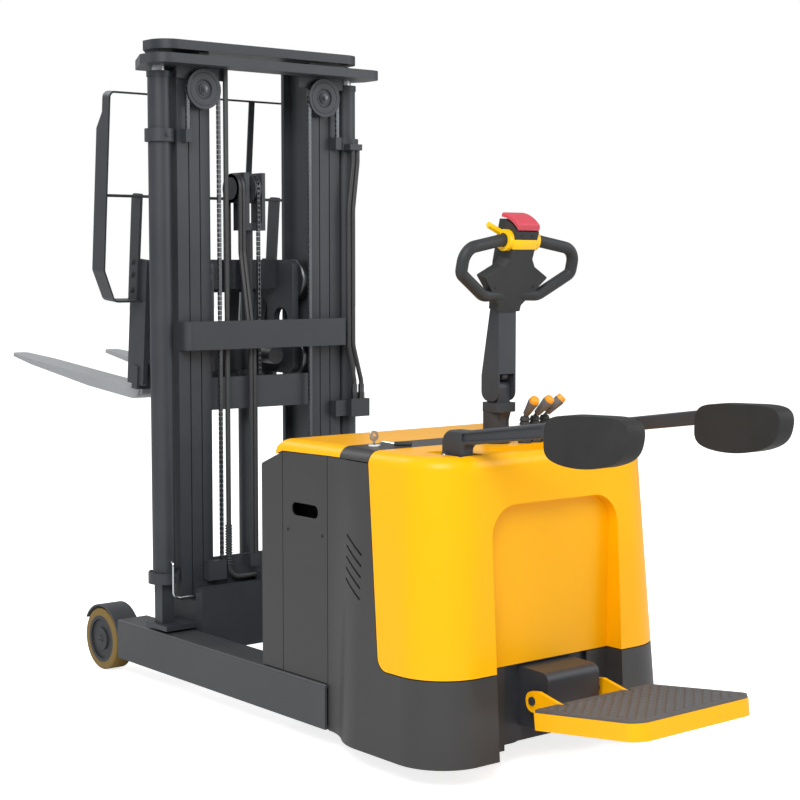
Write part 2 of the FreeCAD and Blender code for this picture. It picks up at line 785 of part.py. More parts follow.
def deck_holes():
    """Openings in the top for steering post, levers and arm brackets."""
    low = BODY_TOP - TRAY_DEPTH - DECK_T
    high = BODY_TOP + 1
    holes = [rod(POST_R + DECK_GAP, Vector(0, STEER_Y, low), Vector(0, STEER_Y, high))]
    for i in range(LEVERS):
        x = LEVER_X + i * LEVER_STEP
        holes.append(rod(BOOT_R1, Vector(x, LEVER_Y, low), Vector(x, LEVER_Y, high)))
    front = ARM_PIVOT_Y + ARM_TOP + DECK_GAP
    rear = ARM_PIVOT_Y - ARM_BRACKET - DECK_GAP
    inside = ARM_X - ARM_T / 2 - ARM_EAR_T - DECK_GAP
    outside = ARM_X + ARM_T / 2 + 2 * DECK_GAP
    slot = prism(
        [(inside, rear, DECK_GAP), (outside, rear, DECK_GAP), (outside, front, DECK_GAP),
         (inside, front, DECK_GAP)],
        plan_view, low, high)
    return holes + [slot, mirrored(slot)]


def rear_cover(shell):
    """Yellow moulded cover with recessed rear panel and tray."""
    cover = shell.common(cover_region(SEAM / 2))
    for hole in deck_holes():
        cover = cover.cut(hole)
    return cover


def louvres():
    """Diagonal vent slots of one side."""
    slots = []
    for i in range(LOUVRES):
        z = LOUVRE_TOP_Z - i * LOUVRE_STEP
        slot = prism(
            [(-LOUVRE_L / 2, -LOUVRE_W / 2, LOUVRE_W / 2.1),
             (LOUVRE_L / 2, -LOUVRE_W / 2, LOUVRE_W / 2.1),
             (LOUVRE_L / 2, LOUVRE_W / 2, LOUVRE_W / 2.1), (-LOUVRE_L / 2, LOUVRE_W / 2, LOUVRE_W / 2.1)],
            side_view, PANEL_X / 2, SKIRT_X + 1)
        slot.rotate(Vector(0, 0, 0), X_AXIS, LOUVRE_DEG)
        slot.translate(Vector(0, LOUVRE_Y, z))
        slots.append(slot)
    return slots


def skirt_shell(shell):
    """Grey skirt with louvred sides and the platform cut-out at the rear."""
    high = BODY_TOP + 1
    skirt = shell.cut(cover_region(-SEAM / 2))
    skirt = skirt.cut(box(-SKIRT_X, SKIRT_X, BAND_REAR_Y - SEAM, DOOR_REAR_Y + SEAM, PANEL_TOP, high))
    skirt = skirt.cut(box(-CUTOUT_X, CUTOUT_X, SKIRT_REAR_Y - SEAM, STEER_Y, BODY_Z0 - 1,
                          COVER_FOOT_Z + SEAM))
    for slot in louvres():
        skirt = skirt.cut(slot).cut(mirrored(slot))
    return skirt


def top_deck(shell):
    """Grey band across the top between the two yellow covers, with the key hole."""
    band = shell.common(box(-SKIRT_X, SKIRT_X, BAND_REAR_Y + SEAM / 2, BAND_FRONT_Y, PANEL_TOP + SEAM,
                            BODY_TOP + 1))
    hole = rod(KEY_PLUG_R + RUN_GAP, Vector(KEY_X, KEY_Y, PANEL_TOP), Vector(KEY_X, KEY_Y, BODY_TOP + 1))
    return band.cut(hole)


def front_cover():
    """Yellow crowned hood over the battery, round along its front and side edges."""
    rear = BAND_FRONT_Y + SEAM
    def hood(inset):
        top = BODY_TOP - inset
        low = PANEL_FRONT_TOP - HOOD_LIP
        front = HOOD_FRONT_Y - inset
        half = PANEL_X - inset
        along = prism([(rear, low), (rear, top), (front, top, HOOD_ROUND), (front, low)], side_view,
                      -half, half)
        round_r = TOP_ROUND - inset
        across = prism([(-half, low), (half, low), (half, top, round_r), (-half, top, round_r)],
                       front_view, rear, front)
        return along.common(across)
    region = prism(
        [(rear - 1, PANEL_TOP + SEAM), (DOOR_REAR_Y, PANEL_TOP + SEAM),
         (STRIP_REAR_Y, PANEL_TOP + SEAM - EDGE),
         (HOOD_FRONT_Y + 1, PANEL_TOP + SEAM - 4 * EDGE), (HOOD_FRONT_Y + 1, BODY_TOP + 1),
         (rear - 1, BODY_TOP + 1)],
        side_view, -PANEL_X, PANEL_X)
    return hood(0).cut(hood(HOOD_WALL)).common(region)


def side_panel_blank():
    """Side panel plane of the right side with its curved top, front strip and door in one."""
    foot = LEG_TOP + SEAM
    return prism(
        [(DOOR_REAR_Y + SEAM, foot), (BODY_FRONT_Y, foot), (BODY_FRONT_Y, PANEL_FRONT_TOP, 2 * EDGE),
         (STRIP_REAR_Y, PANEL_TOP - EDGE), (DOOR_REAR_Y + SEAM, PANEL_TOP)],
        side_view, PANEL_X - PANEL_T, PANEL_X)


def side_panels():
    """Front strips and battery doors; the doors have a hand slot."""
    blank = side_panel_blank()
    seam = box(0, SKIRT_X, STRIP_REAR_Y - SEAM / 2, STRIP_REAR_Y + SEAM / 2, 0, BODY_TOP)
    mid_y = (STRIP_REAR_Y + DOOR_REAR_Y) / 2
    slot = prism(
        [(mid_y - HAND_SLOT_L / 2, HAND_SLOT_Z - HAND_SLOT_H / 2, HAND_SLOT_H / 2.1),
         (mid_y + HAND_SLOT_L / 2, HAND_SLOT_Z - HAND_SLOT_H / 2, HAND_SLOT_H / 2.1),
         (mid_y + HAND_SLOT_L / 2, HAND_SLOT_Z + HAND_SLOT_H / 2, HAND_SLOT_H / 2.1),
         (mid_y - HAND_SLOT_L / 2, HAND_SLOT_Z + HAND_SLOT_H / 2, HAND_SLOT_H / 2.1)],
        side_view, 0, SKIRT_X)
    solids = blank.cut(seam).cut(slot).Solids
    return Part.makeCompound(solids + [mirrored(s) for s in solids])


# Inside the body

def chassis_frame():
    """Welded base: floor plate, bulkheads, drive bridge, panel rails and arm posts."""
    floor_top = BASE_Z0 + PLATE_T
    rear_y = CHASSIS_REAR_Y
    wall_y = BODY_FRONT_Y - HOOD_WALL - BULKHEAD_T
    back_y = wall_y - BATTERY_L - 2 * BULKHEAD_T
    bridge_top = BRIDGE_Z0 + PLATE_T
    floor = box(-LEG_IN, LEG_IN, rear_y, BODY_FRONT_Y - HOOD_WALL, BASE_Z0, floor_top)
    bay = rod(DRIVE_BAY_R, Vector(0, STEER_Y, 0), Vector(0, STEER_Y, BRIDGE_Z0 - 1))
    front = box(-PANEL_X + PANEL_T, PANEL_X - PANEL_T, wall_y, wall_y + BULKHEAD_T, LEG_TOP,
                PANEL_FRONT_TOP - 2 * HOOD_LIP)
    front_low = box(-LEG_IN, LEG_IN, wall_y, wall_y + BULKHEAD_T, floor_top, LEG_TOP)
    sill_z = PANEL_FRONT_TOP - 2 * HOOD_LIP
    sill = box(-PANEL_X + PANEL_T, PANEL_X - PANEL_T, HOOD_FRONT_Y - HOOD_LIP, wall_y + BULKHEAD_T,
               sill_z, sill_z + BULKHEAD_T)
    skin = PANEL_X - SKIRT_WALL - SLIDE_GAP
    back = box(-skin, skin, back_y, back_y + BULKHEAD_T, LEG_TOP, PANEL_TOP - DECK_T)
    back_low = box(-LEG_IN, LEG_IN, back_y, back_y + BULKHEAD_T, floor_top, LEG_TOP)
    span = max(LEG_IN, ARM_X - ARM_T / 2 + SEAT_W)
    bridge = box(-span, span, rear_y, back_y + BULKHEAD_T, BRIDGE_Z0, bridge_top)
    ring = rod(TURNTABLE_R + SLIDE_GAP, Vector(0, STEER_Y, 0), Vector(0, STEER_Y, BODY_TOP))
    rear = box(-LEG_IN, LEG_IN, rear_y, rear_y + BULKHEAD_T, floor_top, bridge_top)
    pieces = [floor.cut(bay), front, front_low, sill, back, back_low, bridge.cut(ring), rear]
    under = BODY_TOP - DECK_T
    for side in (-1, 1):
        # Seats under hood, deck band and rear cover, and rails behind the battery doors
        seat = side * SEAT_X
        edge = side * (SEAT_X + SEAT_W)
        pieces.append(box(seat, edge, back_y, back_y + BULKHEAD_T, PANEL_TOP - 2 * DECK_T,
                          BODY_TOP - HOOD_WALL))
        pieces.append(box(seat, edge, BAND_FRONT_Y - 2 * SEAT_W, back_y + 1, under - BULKHEAD_T, under))
        leg = side * (SEAT_X - SEAT_W)
        pieces.append(box(leg - side * SEAT_W / 2, leg, STEER_Y - 2 * SEAT_W, STEER_Y - SEAT_W, BRIDGE_Z0, under))
        wall = side * (PANEL_X - PANEL_T)
        for z in DOOR_RAIL_Z:
            pieces.append(box(wall - side * SEAT_W, wall, DOOR_REAR_Y + SEAM, wall_y, z, z + SEAT_W / 2))
            pieces.append(box(wall - side * SEAT_W, side * skin, back_y, DOOR_REAR_Y + 2 * SEAM, z,
                              z + SEAT_W / 2))
        inner = side * (LEG_IN - BULKHEAD_T)
        pieces.append(box(inner, side * LEG_IN, rear_y, back_y, floor_top, BRIDGE_Z0))
        post_in = side * (ARM_X - ARM_T / 2 - ARM_EAR_T)
        post_out = side * (ARM_X - ARM_T / 2 - SLIDE_GAP)
        pieces.append(box(post_in, post_out, ARM_PIVOT_Y - ARM_EAR_R, ARM_PIVOT_Y + ARM_EAR_R,
                          bridge_top, ARM_PIVOT_Z))
        pieces.append(rod(ARM_EAR_R, Vector(post_in, ARM_PIVOT_Y, ARM_PIVOT_Z),
                          Vector(post_out, ARM_PIVOT_Y, ARM_PIVOT_Z)))
        pin_end = side * (ARM_X + ARM_T / 2 + SLIDE_GAP)
        pieces.append(rod(ARM_PIN_R, Vector(post_in, ARM_PIVOT_Y, ARM_PIVOT_Z),
                          Vector(pin_end, ARM_PIVOT_Y, ARM_PIVOT_Z)))
        pieces.append(rod(ARM_PIN_R + ARM_PIN_RIM, Vector(pin_end, ARM_PIVOT_Y, ARM_PIVOT_Z),
                          Vector(pin_end + side * DECK_GAP, ARM_PIVOT_Y, ARM_PIVOT_Z)))
    return joined(pieces)


def battery_pack():
    """Battery trough with lid and terminals, and the motor controller beside it."""
    wall_y = BODY_FRONT_Y - HOOD_WALL - BULKHEAD_T
    floor_top = BASE_Z0 + PLATE_T
    case = box(-BATTERY_X, BATTERY_X, wall_y - BATTERY_L, wall_y - BULKHEAD_T, floor_top,
               floor_top + BATTERY_H)
    lid_top = floor_top + BATTERY_H + PLATE_T
    lid = box(-BATTERY_X + PLATE_T, BATTERY_X - PLATE_T, wall_y - BATTERY_L + PLATE_T,
              wall_y - BULKHEAD_T - PLATE_T,
              floor_top + BATTERY_H, lid_top)
    posts = []
    for x in (-BATTERY_X / 2, BATTERY_X / 2):
        posts.append(rod(PLATE_T, Vector(x, wall_y - BATTERY_L / 2, lid_top),
                         Vector(x, wall_y - BATTERY_L / 2, lid_top + PLATE_T)))
    battery = joined([case, lid] + posts)
    bridge_top = BRIDGE_Z0 + PLATE_T
    left = -LEG_IN + BULKHEAD_T
    near = STEER_Y + TURNTABLE_R / 2
    controller = box(left, left + CONTROLLER[0], near, near + CONTROLLER[1], bridge_top,
                     bridge_top + CONTROLLER[2])
    return Part.makeCompound([battery, controller])


def lever_places():
    """X of each hydraulic lever."""
    return [LEVER_X + i * LEVER_STEP for i in range(LEVERS)]


def hydraulic_unit():
    """Oil tank with pump motor, and the lever valve on its stand."""
    bridge_top = BRIDGE_Z0 + PLATE_T
    right = LEG_IN - BULKHEAD_T
    near = STEER_Y + TURNTABLE_R / 3
    tank = box(right - TANK[0], right, near, near + TANK[1], bridge_top, bridge_top + TANK[2])
    mid = Vector(right - TANK[0] / 2, near + TANK[1] / 2, bridge_top + TANK[2])
    motor = rod(PUMP_MOTOR_R, mid, mid + Z_AXIS * PUMP_MOTOR_L)
    power = joined([tank, motor])
    places = lever_places()
    margin = LEVER_STEP / 2
    top = LEVER_PIVOT_Z - LEVER_HUB_R - EDGE
    body = box(places[0] - margin, places[-1] + margin, LEVER_Y - VALVE_D / 2, LEVER_Y + VALVE_D / 2,
               top - VALVE_H, top)
    stand = box(places[-1] - margin, places[-1] + margin, LEVER_Y - VALVE_D / 2,
                LEVER_Y - VALVE_D / 2 + PLATE_T,
                bridge_top, top - VALVE_H)
    pieces = [body, stand]
    for x in places:
        for side in (-1, 1):
            inner = x + side * (LEVER_HUB_W / 2 + SLIDE_GAP)
            outer = inner + side * VALVE_EAR_T
            pieces.append(box(inner, outer, LEVER_Y - LEVER_HUB_R, LEVER_Y + LEVER_HUB_R, top,
                              LEVER_PIVOT_Z + LEVER_PIN_R + EDGE / 2))
        reach = LEVER_HUB_W / 2 + SLIDE_GAP + VALVE_EAR_T
        pieces.append(rod(LEVER_PIN_R, Vector(x - reach, LEVER_Y, LEVER_PIVOT_Z),
                          Vector(x + reach, LEVER_Y, LEVER_PIVOT_Z)))
    return Part.makeCompound([power, joined(pieces)])


def lever(place):
    """Hydraulic lever: hub on its pin, upright rod and a flared knob that leans back and fans out."""
    lean = math.radians(LEVER_LEAN)
    fan = math.radians(LEVER_FAN + place * LEVER_FAN_STEP)
    way = Vector(math.sin(fan) * math.sin(lean), -math.cos(fan) * math.sin(lean), math.cos(lean))
    pivot = Vector(LEVER_X + place * LEVER_STEP, LEVER_Y, LEVER_PIVOT_Z)
    half = X_AXIS * (LEVER_HUB_W / 2)
    hub = rod(LEVER_HUB_R, pivot - half, pivot + half)
    knee = pivot + Z_AXIS * (LEVER_PIVOT_DROP + BOOT_H)
    upright = rod(LEVER_ROD_R, pivot, knee)
    ball = Part.makeSphere(LEVER_ROD_R, knee)
    start = knee + way * LEVER_NECK
    shaft = rod(LEVER_ROD_R, knee, start + way * LEVER_NECK)
    knob = Part.makeCone(KNOB_R0, KNOB_R1, KNOB_L - EDGE, start, way)
    cap = Part.makeCone(KNOB_R1, KNOB_R1 - EDGE, EDGE, start + way * (KNOB_L - EDGE), way)
    bore = rod(LEVER_PIN_R + RUN_GAP, pivot - half * 2, pivot + half * 2)
    return joined([hub, upright, ball, shaft, knob, cap]).cut(bore)


def boot(x):
    """Ribbed rubber boot of one lever, open along its middle."""
    outer = [(0, BOOT_R0 + BOOT_RIB), (BOOT_FLANGE, BOOT_R0 + BOOT_RIB)]
    inner = [(0, BOOT_R0 - BOOT_WALL), (BOOT_FLANGE, BOOT_R0 - BOOT_WALL)]
    steps = 2 * BOOT_RIBS
    for i in range(steps + 1):
        share = i / steps
        along = BOOT_FLANGE + (BOOT_H - BOOT_FLANGE) * share
        radius = BOOT_R0 + (BOOT_R1 - BOOT_R0) * share
        swell = BOOT_RIB if i % 2 == 1 else 0
        outer.append((along, radius + swell))
        if i > 0:
            inner.append((along, radius + swell - BOOT_WALL))
    return turned(outer + inner[::-1], Vector(x, LEVER_Y, BODY_TOP), Z_AXIS)


def lever_boots():
    """Ribbed boots of all levers."""
    return Part.makeCompound([boot(x) for x in lever_places()])


def key():
    """Key with its lock plug, seated in the deck."""
    top = BODY_TOP + EDGE
    plug = rod(KEY_PLUG_R, Vector(KEY_X, KEY_Y, top - KEY_PLUG_H), Vector(KEY_X, KEY_Y, BODY_TOP))
    collar = rod(KEY_PLUG_R + EDGE, Vector(KEY_X, KEY_Y, BODY_TOP + SLIDE_GAP), Vector(KEY_X, KEY_Y, top))
    neck = rod(KEY_PLUG_R, Vector(KEY_X, KEY_Y, BODY_TOP), Vector(KEY_X, KEY_Y, top))
    half = KEY_BOW_T / 2
    stem = box(KEY_X - KEY_BOW_T, KEY_X + KEY_BOW_T, KEY_Y - half, KEY_Y + half, top, top + KEY_STEM)
    centre = Vector(KEY_X, KEY_Y - half, top + KEY_STEM + KEY_BOW_R - EDGE)
    bow = Part.makeCylinder(KEY_BOW_R, KEY_BOW_T, centre, Y_AXIS)
    bow = bow.cut(Part.makeCylinder(KEY_BOW_R / 3, KEY_BOW_T, centre + Z_AXIS * EDGE, Y_AXIS))
    return joined([plug, collar, neck, stem, bow])


# Drive and steering

def drive_unit():
    """Turntable with vertical drive motor above and gearbox leg beside the wheel."""
    centre = Vector(0, STEER_Y, BRIDGE_Z0)
    low = BRIDGE_Z0 - TURNTABLE_T / 2
    table = rod(TURNTABLE_R, Vector(0, STEER_Y, low), Vector(0, STEER_Y, low + TURNTABLE_T))
    flange_z = BRIDGE_Z0 + PLATE_T + SLIDE_GAP
    flange = rod(TURNTABLE_R + PLATE_T, Vector(0, STEER_Y, flange_z),
                 Vector(0, STEER_Y, flange_z + PLATE_T))
    neck = rod(TURNTABLE_R, centre, Vector(0, STEER_Y, flange_z))
    motor_z = flange_z + PLATE_T
    motor = rod(MOTOR_R, Vector(0, STEER_Y, motor_z), Vector(0, STEER_Y, motor_z + MOTOR_H))
    x0 = DRIVE_W / 2 + EDGE
    leg = prism(
        [(STEER_Y - GEARBOX_R, low), (STEER_Y - GEARBOX_R, DRIVE_R - GEARBOX_R / 1.2, GEARBOX_R / 1.3),
         (STEER_Y + GEARBOX_R, DRIVE_R - GEARBOX_R / 1.2, GEARBOX_R / 1.3), (STEER_Y + GEARBOX_R, low)],
        side_view, x0, x0 + GEARBOX_W)
    axle = rod(DRIVE_AXLE_R, Vector(x0, STEER_Y, DRIVE_R), Vector(-DRIVE_W / 2, STEER_Y, DRIVE_R))
    return joined([table, flange, neck, motor, leg, axle])


def drive_wheel():
    """Drive wheel with its tread, running on the gearbox axle."""
    rim = DRIVE_R - DRIVE_TREAD
    bore = DRIVE_AXLE_R + RUN_GAP
    web = DRIVE_W / 3
    profile = [(0, bore), (0, rim / 2), (web, rim / 2), (web, rim), (0, rim), (0, DRIVE_R - EDGE),
               (EDGE, DRIVE_R),
               (DRIVE_W - EDGE, DRIVE_R), (DRIVE_W, DRIVE_R - EDGE), (DRIVE_W, bore)]
    return turned(profile, Vector(-DRIVE_W / 2, STEER_Y, DRIVE_R), X_AXIS)


def tiller_post():
    """Steering post with an overhanging collar block, hinge lug and hinge pin."""
    motor_top = BRIDGE_Z0 + 2 * PLATE_T + SLIDE_GAP + MOTOR_H
    low = POST_TOP - POST_COLLAR_H
    shaft = rod(POST_R, Vector(0, STEER_Y, motor_top), Vector(0, STEER_Y, low))
    front = STEER_Y + POST_COLLAR_FRONT
    rear = STEER_Y - POST_COLLAR_REAR
    corner = POST_COLLAR_ROUND
    collar = prism(
        [(-POST_COLLAR_X, rear, corner), (POST_COLLAR_X, rear, corner), (POST_COLLAR_X, front, corner),
         (-POST_COLLAR_X, front, corner)],
        plan_view, low, POST_TOP)
    gusset = prism(
        [(STEER_Y, low), (rear + corner / 2, low), (STEER_Y - POST_R + EDGE, low - POST_COLLAR_H),
         (STEER_Y, low - POST_COLLAR_H)],
        side_view, -POST_COLLAR_X / 2, POST_COLLAR_X / 2)
    pivot = Vector(0, TILLER_PIVOT_Y, TILLER_PIVOT_Z)
    lug = prism(
        [(TILLER_PIVOT_Y - TILLER_LUG_R, low), (TILLER_PIVOT_Y + TILLER_LUG_R, low),
         (TILLER_PIVOT_Y + TILLER_LUG_R, TILLER_PIVOT_Z + TILLER_LUG_R, TILLER_LUG_R - 1),
         (TILLER_PIVOT_Y - TILLER_LUG_R, TILLER_PIVOT_Z + TILLER_LUG_R, TILLER_LUG_R - 1)],
        side_view, -TILLER_LUG, TILLER_LUG)
    reach = X_AXIS * (TILLER_X + SLIDE_GAP)
    pin = rod(TILLER_PIN_R, pivot - reach, pivot + reach)
    return joined([shaft, collar, gusset, lug, pin])


def tiller_arm():
    """Folded steel arm with a closed rear plate, a window at its foot and the gas spring behind it."""
    y = TILLER_PIVOT_Y
    z = TILLER_PIVOT_Z
    rear = y - TILLER_FOOT
    front = y + TILLER_FOOT
    top_front = rear + TILLER_TOP_D
    solid = prism(
        [(rear, z - TILLER_FOOT, TILLER_FOOT_ROUND), (front, z - TILLER_FOOT, TILLER_FOOT_ROUND),
         (front, z + TILLER_FOOT, TILLER_FOOT),
         (top_front, TILLER_TOP_Z), (rear, TILLER_TOP_Z)],
        side_view, -TILLER_X, TILLER_X)
    inside = TILLER_X - TILLER_WALL
    ceiling = TILLER_TOP_Z - 3 * TILLER_WALL
    inner = prism(
        [(rear + TILLER_WALL, z - 2 * TILLER_FOOT), (front - TILLER_WALL, z - 2 * TILLER_FOOT),
         (front - TILLER_WALL, z + TILLER_FOOT), (top_front - TILLER_WALL, ceiling),
         (rear + TILLER_WALL, ceiling)],
        side_view, -inside, inside)
    window = box(-inside, inside, rear - 1, rear + TILLER_FOOT, z - 2 * TILLER_FOOT, TILLER_WINDOW_Z)
    toe = box(-inside, inside, y, front + 1, z - 2 * TILLER_FOOT, z + TILLER_LUG_R + EDGE)
    arm = solid.cut(inner).cut(window).cut(toe)
    arm = arm.cut(rod(TILLER_PIN_R + RUN_GAP, Vector(-SKIRT_X, y, z), Vector(SKIRT_X, y, z)))
    low = Vector(0, rear + TILLER_TOP_D / 2, z + GAS_EYE_UP)
    half = X_AXIS * GAS_BARREL_R
    spring = joined([rod(GAS_BARREL_R, low - half, low + half),
                     rod(GAS_ROD_R, low, low + Z_AXIS * GAS_ROD_L),
                     rod(GAS_BARREL_R, low + Z_AXIS * GAS_ROD_L,
                         Vector(0, low.y, ceiling))])
    # The arm's top is cut along the foot of the leaning head
    cap = box(-TILLER_X, TILLER_X, rear, top_front, TILLER_TOP_Z - 1, TILLER_TOP_Z + TILLER_TOP_D / 2)
    above = on_head(box(-SKIRT_X, SKIRT_X, -TILLER_TOP_D, TILLER_TOP_D, 0, TILLER_TOP_D))
    return Part.makeCompound([joined([arm, cap]).cut(above), spring])


def head_base():
    """Foot of the tiller head: the middle of the arm's top."""
    return TILLER_PIVOT_Y - TILLER_FOOT + TILLER_TOP_D / 2, TILLER_TOP_Z


def on_head(shape):
    """Put a piece drawn about the head's foot where the leaning head is."""
    y, z = head_base()
    copy = shape.copy()
    copy.translate(Vector(0, y, z))
    return turned_about_x(copy, HEAD_LEAN, y, z)


def crown(grow, half):
    """Cylinder across the truck whose upper side is the head's round top, raised by a distance."""
    run = HEAD_TOP_FRONT - HEAD_TOP_REAR
    rise = HEAD_FRONT_H - HEAD_REAR_H
    chord = math.hypot(run, rise)
    depth = math.sqrt(HEAD_CROWN_R * HEAD_CROWN_R - chord * chord / 4) / chord
    base = Vector(-half, (HEAD_TOP_FRONT + HEAD_TOP_REAR) / 2 + depth * rise,
                  (HEAD_FRONT_H + HEAD_REAR_H) / 2 - depth * run)
    return Part.makeCylinder(HEAD_CROWN_R + grow, 2 * half, base, X_AXIS)


def tiller_head():
    """Moulded head with wings, and the two loop handles."""
    edge = HEAD_ROUND
    half = HEAD_NECK_X
    body = prism(
        [(HEAD_FOOT_REAR, 0), (HEAD_TOP_REAR, HEAD_REAR_H), (HEAD_TOP_REAR, HEAD_FRONT_H + edge),
         (HEAD_TOP_FRONT, HEAD_FRONT_H + edge), (HEAD_TOP_FRONT, HEAD_SHOULDER_Z, 3 * edge),
         (HEAD_FOOT_FRONT, 0)],
        side_view, -half, half)
    roof = box(-half, half, HEAD_TOP_REAR, HEAD_TOP_FRONT, GRIP_Z, HEAD_FRONT_H + edge)
    body = body.cut(roof.cut(crown(0, half)))
    far = HEAD_TOP_REAR - HEAD_WING_D
    front = HEAD_FOOT_REAR + HEAD_WING_D - edge
    wings = prism(
        [(-HEAD_FOOT_X, 0, edge), (HEAD_FOOT_X, 0, edge), (HEAD_FOOT_X, 2 * edge, edge),
         (HEAD_WING_X, HEAD_WING_Z, edge / 2),
         (HEAD_SHOULDER_X, HEAD_SHOULDER_Z, edge), (HEAD_NECK_X - edge / 8, HEAD_SHOULDER_Z + 3 * edge),
         (edge / 8 - HEAD_NECK_X, HEAD_SHOULDER_Z + 3 * edge), (-HEAD_SHOULDER_X, HEAD_SHOULDER_Z, edge),
         (-HEAD_WING_X, HEAD_WING_Z, edge / 2), (-HEAD_FOOT_X, 2 * edge, edge)],
        front_view, far, front)
    behind = prism(
        [(HEAD_FOOT_REAR, 0), (HEAD_TOP_REAR, HEAD_REAR_H), (2 * far, HEAD_REAR_H), (2 * far, -1),
         (HEAD_FOOT_REAR, -1)],
        side_view, -SKIRT_X, SKIRT_X)
    reach = GRIP_X - GRIP_R
    loop = tube_along(
        [(HEAD_NECK_X - edge, GRIP_Z), (HEAD_NECK_X + GRIP_ROOT, GRIP_Z, GRIP_BEND),
         (reach, GRIP_Z - GRIP_DROOP, GRIP_BEND), (reach, GRIP_KNEE_Z, GRIP_BEND / 2),
         (reach / 2, GRIP_LOW_Z, GRIP_BEND), (HEAD_FOOT_X - 2 * edge, GRIP_LOW_Z)],
        front_view, GRIP_R, Vector(0, GRIP_Y, 0))
    loop.rotate(Vector(HEAD_NECK_X, GRIP_Y, 0), Z_AXIS, -GRIP_SWEEP_DEG)
    stem_y = (HEAD_TOP_REAR + HEAD_TOP_FRONT) / 2
    bore = rod(BUTTON_STEM_R + RUN_GAP, Vector(0, stem_y, HEAD_REAR_H - BUTTON_STEM_L),
               Vector(0, stem_y, HEAD_FRONT_H + BUTTON_STEM_L))
    return on_head(joined([body, wings.cut(behind), loop, mirrored(loop)]).cut(bore))


def speed_paddles():
    """Thumb paddles of the speed control, a ring round each grip with a tapered blade."""
    x0 = HEAD_NECK_X + SLIDE_GAP
    ring = rod(PADDLE_R, Vector(x0, GRIP_Y, GRIP_Z), Vector(x0 + PADDLE_W, GRIP_Y, GRIP_Z))
    bore = GRIP_R + PADDLE_CLEAR
    root = bore + EDGE / 2
    blade = prism(
        [(x0, GRIP_Z + root), (x0 + PADDLE_W, GRIP_Z + root),
         (x0 + PADDLE_BLADE, GRIP_Z + PADDLE_R + PADDLE_BLADE_W / 2, EDGE),
         (x0 + PADDLE_BLADE - EDGE, GRIP_Z + PADDLE_R + PADDLE_BLADE_W, EDGE),
         (x0, GRIP_Z + PADDLE_R, EDGE)],
        front_view, GRIP_Y - PADDLE_BLADE_T / 2, GRIP_Y + PADDLE_BLADE_T / 2)
    blade.rotate(Vector(0, GRIP_Y, GRIP_Z), X_AXIS, -PADDLE_DEG)
    hole = rod(bore, Vector(0, GRIP_Y, GRIP_Z), Vector(SKIRT_X, GRIP_Y, GRIP_Z))
    paddle = on_head(joined([ring, blade]).cut(hole))
    return pair(paddle)


def belly_button():
    """Red reversing button: a saddle-shaped cap that follows the head's round top, on a stem."""
    gap = BUTTON_TRAVEL + EDGE / 4
    rear = HEAD_TOP_REAR - EDGE / 2
    front = HEAD_TOP_FRONT - EDGE
    upper = crown(gap + BUTTON_T, BUTTON_X)
    block = box(-BUTTON_X, BUTTON_X, rear, front, HEAD_SHOULDER_Z, HEAD_FRONT_H + BUTTON_STEM_L)
    cap = block.common(upper).cut(crown(gap, BUTTON_X))
    middle = upper.Solids[0].CenterOfMass
    rims = []
    for edge in cap.Edges:
        spot = edge.valueAt((edge.FirstParameter + edge.LastParameter) / 2)
        reach = math.hypot(spot.y - middle.y, spot.z - middle.z)
        if abs(reach - HEAD_CROWN_R - gap - BUTTON_T) < SLIDE_GAP:
            rims.append(edge)
    cap = cap.makeFillet(BUTTON_SOFT, rims)
    stem_y = (HEAD_TOP_REAR + HEAD_TOP_FRONT) / 2
    stem = rod(BUTTON_STEM_R, Vector(0, stem_y, HEAD_REAR_H - BUTTON_STEM_L + gap),
               Vector(0, stem_y, HEAD_FRONT_H + gap + BUTTON_T / 2))
    return on_head(joined([cap, stem]))


# Side arms

def side_arm(side):
    """Folding arm: deep bracket at the hinge, climbing arm with a sunk panel on its outer face."""
    y = ARM_PIVOT_Y
    z = ARM_PIVOT_Z
    end = y - ARM_REACH
    x0 = ARM_X - ARM_T / 2
    x1 = ARM_X + ARM_T / 2
    top = z + ARM_TOP
    belly = z + ARM_BELLY
    blank = prism(
        [(y + ARM_NOSE, z - ARM_DROP / 2, 2 * EDGE), (y + ARM_NOSE, top, 2 * ARM_NOSE),
         (y - ARM_BRACKET, top, 8 * ARM_NOSE), (end, top + ARM_RISE),
         (end, belly + ARM_RISE), (y - ARM_BRACKET, belly, ARM_NOSE),
         (y - ARM_BRACKET, z - ARM_DROP, 2 * EDGE),
         (y - ARM_NOSE, z - ARM_DROP, 2 * EDGE)],
        side_view, x0, x1)
    rims = [e for e in blank.Edges if e.BoundBox.XLength < RUN_GAP and e.BoundBox.YMax > end + EDGE]
    blank = blank.makeFillet(ARM_SOFT, rims)
    margin = 2 * EDGE
    panel = prism(
        [(y - ARM_BRACKET, belly + 1.5 * margin, EDGE), (y - ARM_BRACKET, top - margin, EDGE),
         (end + 2 * margin, top + ARM_RISE - 1.5 * margin, EDGE),
         (end + 2 * margin, belly + ARM_RISE, EDGE)],
        side_view, x1 - ARM_PANEL_DEPTH, x1)
    bore = rod(ARM_PIN_R + RUN_GAP, Vector(0, y, z), Vector(SKIRT_X, y, z))
    arm = blank.cut(panel).cut(bore)
    return arm if side > 0 else mirrored(arm)


